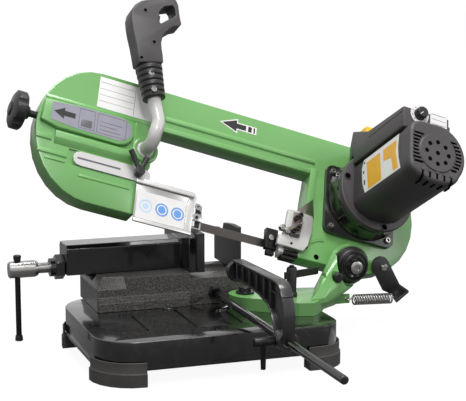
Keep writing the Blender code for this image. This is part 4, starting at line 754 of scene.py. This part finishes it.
def make_cap_details():
    """The pierced fan cover on the motor's cap, and the vents round it."""
    cover = turned([(0, 0), (33, 0), (33, 0.8), (31.4, 2.2), (0, 2.2)], (*MOTOR_MIDDLE, CAP_END - 0.4),
                   sides=48)
    piece("fan_cover", [cover], "moulded_dark_grey")
    centres = [MOTOR_MIDDLE] + [polar(MOTOR_MIDDLE, 20, 19, 45 * i) for i in range(8)]
    holes = [disc(centre, CAP_END + 1.4, 3.7, 0.55) for centre in centres]
    piece("fan_cover_holes", holes, "deep_shadow_black")
    floor, root = CAP_END - 0.8, CAP_END - 0.4
    dark, ribs = [], []
    for row in range(9):
        v = 80.5 + 6.1 * row
        reach = math.sqrt(max(0.0, 36.0 ** 2 - (v - MOTOR_MIDDLE[1]) ** 2))
        left, right = MOTOR_MIDDLE[0] - reach, MOTOR_MIDDLE[0] + reach
        dark += [block((max(242, left - 15), v, floor), (left + 1, v + 3.2, CAP_END + 0.25), 0.0),
                 block((right - 1, v, floor), (min(329, right + 9), v + 3.2, CAP_END + 0.25), 0.0)]
        ribs += [block((max(241, left - 16), v + 3.2, root), (left + 2, v + 5.9, CAP_END + 1.6), 0.5),
                 block((right - 2, v + 3.2, root), (min(330, right + 9), v + 5.9, CAP_END + 1.6), 0.5)]
    piece("cap_vents", dark, "deep_shadow_black")
    piece("cap_vent_ribs", ribs, "moulded_dark_grey")
    slot = [(53.7, 232), (53.7, 244.6), (60.6, 252.2), (68.5, 252.2), (68.5, 251.0), (61.2, 251.0), (55, 244),
            (55, 232)]
    brow = [(69, 251.6), (69, 253.4), (72.4, 253.4), (74, 251.6)]
    piece("cap_lower_vents", [along(slot, u - 1.7, u + 1.7, 0.0) for u in VENT_ROW], "deep_shadow_black")
    piece("cap_vent_brows", [along(brow, u - 3, u + 3, 0.6) for u in VENT_ROW], "moulded_dark_grey")


def make_box_details():
    """The dial's scale, grips and pointer, and the small plate beside it."""
    def about_dial(shape, degrees):
        return moved(shape, Matrix.Translation((*DIAL_MIDDLE, 0))
                     @ Matrix.Rotation(math.radians(degrees), 4, "Z"))

    ring = turned([(10.4, 0), (16.5, 0), (16.5, 0.5), (10.4, 0.5)], (*DIAL_MIDDLE, BOX_FRONT - 0.1), sides=40)
    piece("dial_scale", [ring], "white_film")
    ticks = [about_dial(block((11.6, -0.35, BOX_FRONT + 0.2), (14.6, 0.35, BOX_FRONT + 0.6), 0.0),
                        225 - 33.75 * i) for i in range(9)]
    piece("dial_scale_ticks", ticks, "black_film")
    grips = [rod((*polar(DIAL_MIDDLE, 9.4, 9.4, 30 * i), 235.5),
                 (*polar(DIAL_MIDDLE, 8.7, 8.7, 30 * i), 245.0), 1.1, sides=10, width=0.3) for i in range(12)]
    piece("dial_grips", grips, "moulded_black", "dial")
    pointer = about_dial(block((0.5, -0.6, 245.8), (8.0, 0.6, 246.6), 0.1), 225)
    piece("dial_pointer", [pointer], "white_film", "dial")
    film = plate(rounded((283, 314), (165, 186.6), 1.0, 3), BOX_FRONT - 0.2, BOX_FRONT + 0.5, 0.0)
    piece("box_plate", [film], "white_film")
    rules = [block((285, v, BOX_FRONT + 0.3), (312, v + 0.6, BOX_FRONT + 0.7), 0.0)
             for v in (167, 184, 175.5)]
    piece("box_plate_rules", rules, "line_grey_film")


def make_motor_mounts():
    """The gearbox's four socket screws and the screw eyes of the motor's flange."""
    screws = []
    for centre in ((222, 150), (222, 50), (330, 50), (330, 150)):
        screws += socket_screw(centre, 30.2, 5.2, 4.6)
    piece("gearbox_screws", screws, "zinc_steel")
    rims = [turned([(5.0, 0), (7.2, 0), (6.6, 1.2), (5.0, 1.2)], (*centre, 75.8), sides=24)
            for centre in FLANGE_EYES]
    piece("flange_eyes", rims, "moulded_dark_grey")
    piece("flange_wells", [disc(centre, 75.4, 5.1, 0.9) for centre in FLANGE_EYES], "deep_shadow_black")


def make_handle_details():
    """Screw wells in the grip and screw heads on the sleeve."""
    wells = [(-158, 315.5), (-137, 262), (-155, 227)]
    piece("grip_screw_wells", [disc(centre, 76.6, 2.9, 0.6, 0.0, 24) for centre in wells],
          "deep_shadow_black")
    piece("grip_screw_rims", [turned([(2.8, 0), (4.4, 0), (3.9, 0.7), (2.8, 0.7)], (*centre, 76.8), sides=24)
                              for centre in wells], "moulded_dark_grey")
    heads = []
    for centre in ((-137, 202, 80.5), (-130, 174, 82.0)):
        heads += [turned([(3.0, 0), (4.8, 0), (4.4, 1.4), (3.0, 1.4)], centre, sides=24),
                  turned([(0, 0), (3.0, 0), (3.0, 0.6), (0, 0.9)], centre, sides=20)]
    piece("sleeve_screws", heads, "zinc_steel")


def make_blade_teeth():
    """A row of hooked teeth along the lower edge, between the guides and inside them."""
    tooth = ((0.0, -11.8), (1.5, -11.8), (0.3, -13.0))
    first, pitch, count = -283.0, 1.8, 88
    shape = bmesh.new()
    for i in range(count):
        x = first + pitch * i
        low = [shape.verts.new((x + a, 0.75, z)) for a, z in tooth]
        high = [shape.verts.new((x + a, 1.55, z)) for a, z in tooth]
        shape.faces.new(low)
        shape.faces.new(list(reversed(high)))
        for j in range(3):
            shape.faces.new((low[j], high[j], high[(j + 1) % 3], low[(j + 1) % 3]))
    bmesh.ops.recalc_face_normals(shape, faces=shape.faces)
    piece("blade_teeth", [shape], "blade_steel", place=HEAD)


def make_drive_details():
    """The cast case round the drive wheel's gear, and what shows on the end of the pivot shaft."""
    case = turned([(44, 0), (68, 0), (69.5, 2), (67.5, 6), (66, 22), (66.5, 28), (64, 33.4), (44, 33.4)],
                  (283, 110, 30.3), sides=64)
    trimmed(case, ((0, 161.5, 0), (0, 1, 0)), ((341, 0, 0), (1, 0, 0)))
    piece("gear_case", [case], "gloss_black_enamel")

    def on_pivot(profile, y, sides):
        return turned(profile, (PIVOT[0], y, PIVOT[1]), (0, -1, 0), sides)

    rings = [on_pivot([(14.4, 0), (17.2, 0), (16.6, 1.6), (15, 1.6)], 6.6, 44),
             on_pivot([(20.5, 0), (24.5, 0), (23.8, 1.8), (21.2, 1.8)], 6.6, 48)]
    piece("pivot_cap_rings", rings, "gloss_black_enamel", "swivel", LAYOUT)
    hub = [on_pivot([(9, 0), (12.5, 0), (12.5, 2.2), (9, 2.2)], 5.6, 40),
           on_pivot([(0, 0), (10.4, 0), (10.4, 1.2), (8.6, 2.4), (4.6, 2.4), (3.8, 0.2), (0, 0.0)], -2.6, 36),
           rod((217.5, 3.4, 112.5), (217.5, 1.6, 112.5), 2.2, sides=16)]
    piece("pivot_hub", hub, "zinc_steel", "swivel", LAYOUT)
    for number, x, z in ((1, 216, 113.5), (2, 229, 113.0)):
        head = turned([(0, 0), (2.6, 0), (2.3, 1.2), (0, 1.5)], (x, 6.5, z), (0, -1, 0), 18)
        piece("pivot_cap_screw_%d" % number, [head], "zinc_steel", "swivel", LAYOUT)


def make_stop_arm():
    """Ribbed arm with rounded rims, from the hub on the rod up a bowed leg and back to the stop disc."""
    outer = [(-241, 67), (-249, 84), (-251, 106), (-251.8, 120), (-248, 139), (-243.5, 148), (-238, 156),
             (-231, 161.5), (-222, 163.6), (-208, 163.8), (-133, 161.8), (-38, 158.8)]
    inner = [(-38, 129.5), (-55, 134), (-105, 136), (-152, 132.5), (-185, 127), (-197, 121), (-204, 114),
             (-209, 106), (-214, 96), (-219, 84), (-223, 67)]
    hub_y, half_hub = -238.0, 13.0
    half_web, half_rib, half_rim = 2.2, 8.4, 9
    web = along([p for p in outer + inner if p[1] > 83], STOP[0] - half_web, STOP[0] + half_web)

    def rim(line, thick):
        """A flange of even thickness beside an outline."""
        back = []
        for i, point in enumerate(line):
            way = (Vector(line[min(i + 1, len(line) - 1)]) - Vector(line[max(i - 1, 0)])).normalized()
            back.append(tuple(Vector(point) + Vector((-way.y, way.x)) * thick))
        return along(line + back[::-1], STOP[0] - half_rim, STOP[0] + half_rim, 0.9)

    def rib(low, high):
        return block((STOP[0] - half_rib, *low), (STOP[0] + half_rib, *high), 0.7)

    rims = [rim(outer[1:], 4.0), rim(inner[:-1], -3.0)]
    ribs = [rib((y - 1.8, low), (y + 1.8, high))
            for y, low, high in ((-198, 122, 162), (-172, 130, 162), (-141, 135, 161), (-110, 137, 161),
                                 (-80, 136, 160), (-54, 135, 159))]
    ribs.append(rib((-248, 148), (-203, 151)))
    end = turned([(0, 0), (15.6, 0), (17, 1.4), (17, 7.6), (15.6, 9), (11, 9), (10.2, 8.2), (0, 8.2)],
                 (STOP[0], -40, 144), (0, 1, 0), 44)
    hub = turned([(8.9, 0), (14.2, 0), (15, 1), (15, 2 * half_hub - 1), (14.2, 2 * half_hub),
                  (8.9, 2 * half_hub)], (STOP[0], hub_y - half_hub, STOP[1]), (0, 1, 0), 40)
    chin = block((STOP[0] - 4.5, -244, 66.2), (STOP[0] + 4.5, -224, 75), 1.4)
    nose = turned([(4.6, 0), (8.6, 0), (8.6, 6.5), (7.8, 7.2), (4.6, 7.2)], (STOP[0] - 8.6, hub_y, STOP[1]),
                  (-1, 0, 0), 28)
    piece("stop_arm_casting", [web, *rims, *ribs, end, hub, chin, nose], "satin_black_casting",
          "stop_arm", LAYOUT, ("stop_bracket",), 40)


def make_spring():
    """Closely wound tension spring with its two hooks."""
    start, end = Vector((206.0, -4.0, 75.0)), Vector((305.0, 17.0, 66.0))
    axis = (end - start).normalized()
    side = axis.cross(Vector((0, 0, 1))).normalized()
    rise = side.cross(axis)
    first, length = start + axis * 13, (end - start).length - 24
    turns, steps = 15, 14
    path = [start + Vector((0, 13, 0)), start + Vector((0, 3, 0)),
            start + axis * 3, start + axis * 8 + rise * 2]
    for i in range(turns * steps + 1):
        angle = math.tau * i / steps
        path.append(first + axis * (length * i / turns / steps)
                    + (rise * math.cos(angle) + side * math.sin(angle)) * 7.6)
    path += [end - axis * 8 + rise * 2, end - axis * 3, end + Vector((0, 3, 0)), end + Vector((0, 15, 0))]
    piece("tension_spring", [tube(path, 1.5, 8)], "zinc_steel", "swivel", LAYOUT,
          ("counter_spring",), 60)


def make_spring_arm():
    """The plate that the spring pulls on, with its bent foot and its dished screw."""
    outline = [(289, 75.8), (300, 70.9), (321.5, 80.4), (310.2, 101.3), (298, 124), (295, 129), (290, 133),
               (283, 134.6), (275.5, 132.5), (270, 128), (267.4, 122), (268, 116)]
    facing_front = Matrix(((1, 0, 0, 0), (0, 0, -1, 33.2), (0, 1, 0, 0), (0, 0, 0, 1)))
    arm = moved(plate(outline, -5.0, 0.0, 0.8), facing_front)
    foot = bmesh.new()
    for x, y, z in ((300, 36, 70.9), (321.5, 36, 80.4), (325, 10, 75.5), (302, 10, 58.9)):
        foot.verts.new((x, y, z))
        foot.verts.new((x - 1.2, y, z + 4.0))
    bmesh.ops.convex_hull(foot, input=foot.verts)
    piece("spring_arm_plate", [arm, soften(foot, 0.6)], "satin_black_casting", "bow", LAYOUT,
          ("spring_arm",))
    screw = turned([(0, 0), (6.6, 0), (7.0, 0.8), (6.6, 2.0), (4.6, 4.0), (2.4, 4.2), (2.2, 3.0), (0, 3.0)],
                   (288.9, 33.0, 115.3), (0, -1, 0), 30)
    piece("spring_arm_screw", [screw], "zinc_steel", "bow", LAYOUT)


def make_back_cover():
    """Ribs, hub rings and screws of the cover behind the band wheels, and the caps of its bearings."""
    ribs = [block((-84, middle - 3.5, -11.6), (170, middle + 3.5, BACK), 0.8) for middle in (160, 188)]
    for centre in WHEEL_CENTRES:
        ribs.append(turned([(64, 0), (70, 0), (68.5, -1.8), (65.5, -1.8)], (*centre, BACK), sides=56))
        ribs.append(turned([(0, 0), (24, 0), (22, -2.6), (0, -2.6)], (*centre, BACK), sides=40))
    piece("back_cover_ribs", ribs, "moulded_black")
    around = [polar((-196, 97), 88, 105, degrees) for degrees in range(100, 280, 34)]
    around += [polar((276, 97), 98, 105, degrees) for degrees in range(-80, 90, 34)]
    around += [(u, v) for u in (-110, -20, 70, 160) for v in (147, 202)] + [(-124, 10), (186, 10)]
    heads = [turned([(0, 0), (4.6, 0), (4.4, -1.8), (3.2, -2.9), (1.6, -3.1), (1.4, -1.6), (0, -1.6)],
                    (*centre, -9.9), sides=20) for centre in around]
    piece("back_cover_screws", heads, "zinc_steel")
    domes = [turned([(0, 0), (13, 0), (12.4, -2.0), (9, -2.6), (0, -2.6)], (*centre, -12.0), sides=32)
             for centre in WHEEL_CENTRES]
    piece("bearing_caps", domes, "zinc_steel")


for make in (make_tray, make_motor_body, make_back_cover, make_bow_relief, make_bow_markings, make_guides,
             make_motor_film, make_cap_details, make_box_details, make_motor_mounts, make_handle_details,
             make_blade_teeth, make_drive_details, make_stop_arm, make_spring, make_spring_arm):
    make()


# ---- camera, light and floor ----------------------------------------------------------------------
EYE = (-0.7032, -1.8467, 0.5845)
LENS = 104.29                 # focal length in millimetres on a 36 mm frame
FLOOR_GLOW, FLOOR_MIRRORED = 0.93, 0.1
WORLD_LIGHT, WORLD_MIRRORED = 0.36, 0.8
LIT_POINT = Vector((0.0, 0.05, 0.2))
# name, place, size in metres, power in watts
LAMPS = (("key_light", (-0.5, -1.8, 2.6), 0.6, 36.0), ("side_light", (2.1, -1.2, 1.2), 0.8, 9.0),
         ("top_light", (0.1, 0.1, 2.3), 0.8, 30.0))


def make_camera():
    aim, tilt = math.radians(-19.3), math.radians(9.2)
    right = Vector((math.cos(aim), math.sin(aim), 0.0))
    up = Vector((-math.sin(aim) * math.sin(tilt), math.cos(aim) * math.sin(tilt), math.cos(tilt)))
    camera = bpy.data.objects.new("camera", bpy.data.cameras.new("camera"))
    camera.data.sensor_width = 36.0
    camera.data.lens = LENS
    camera.data.clip_end = 50.0
    turn = Matrix((right, up, right.cross(up))).transposed().to_4x4()
    camera.matrix_world = Matrix.Translation(EYE) @ turn
    bpy.context.scene.collection.objects.link(camera)
    bpy.context.scene.camera = camera


def make_floor():
    """A pale floor that shows white behind the saw and keeps its shadow."""
    floor_finish = Finish("studio_floor", (84, 84, 84), 0.9)
    floor_finish.set("Emission Color", (1.0, 1.0, 1.0, 1.0))
    seen = floor_finish.node("ShaderNodeLightPath", {}, {}, "Is Camera Ray")
    mirrored = floor_finish.node("ShaderNodeLightPath", {}, {}, "Is Glossy Ray")
    floor_finish.set("Emission Strength", seen * FLOOR_GLOW + mirrored * FLOOR_MIRRORED)
    sheet = bmesh.new()
    bmesh.ops.create_grid(sheet, x_segments=1, y_segments=1, size=9.0)
    mesh = bpy.data.meshes.new("studio_floor")
    sheet.to_mesh(mesh)
    sheet.free()
    mesh.materials.append(floor_finish.material)
    floor = bpy.data.objects.new("studio_floor", mesh)
    bpy.context.scene.collection.objects.link(floor)


def make_lights():
    for name, place, size, power in LAMPS:
        lamp = bpy.data.lights.new(name, "AREA")
        lamp.size = size
        lamp.energy = power
        holder = bpy.data.objects.new(name, lamp)
        holder.location = place
        holder.rotation_euler = (LIT_POINT - Vector(place)).to_track_quat("-Z", "Y").to_euler()
        bpy.context.scene.collection.objects.link(holder)


def make_world():
    """Even soft light; the eye sees it white, and mirrors see it nearly white."""
    world = bpy.data.worlds.new("studio")
    world.use_nodes = True
    tree = world.node_tree
    plain = tree.nodes["Background"]
    plain.inputs["Color"].default_value = (1.0, 1.0, 1.0, 1.0)
    plain.inputs["Strength"].default_value = WORLD_LIGHT
    white = tree.nodes.new("ShaderNodeBackground")
    white.inputs["Strength"].default_value = 1.0
    white.inputs["Color"].default_value = (1.0, 1.0, 1.0, 1.0)
    path = tree.nodes.new("ShaderNodeLightPath")
    mix = tree.nodes.new("ShaderNodeMixShader")
    either = tree.nodes.new("ShaderNodeMath")
    either.operation = "MULTIPLY_ADD"
    either.use_clamp = True
    tree.links.new(path.outputs["Is Glossy Ray"], either.inputs[0])
    either.inputs[1].default_value = WORLD_MIRRORED
    tree.links.new(path.outputs["Is Camera Ray"], either.inputs[2])
    tree.links.new(either.outputs[0], mix.inputs[0])
    tree.links.new(plain.outputs[0], mix.inputs[1])
    tree.links.new(white.outputs[0], mix.inputs[2])
    tree.links.new(mix.outputs[0], tree.nodes["World Output"].inputs["Surface"])
    bpy.context.scene.world = world


for make in (make_camera, make_floor, make_lights, make_world):
    make()
bpy.context.scene.view_settings.view_transform = "Standard"
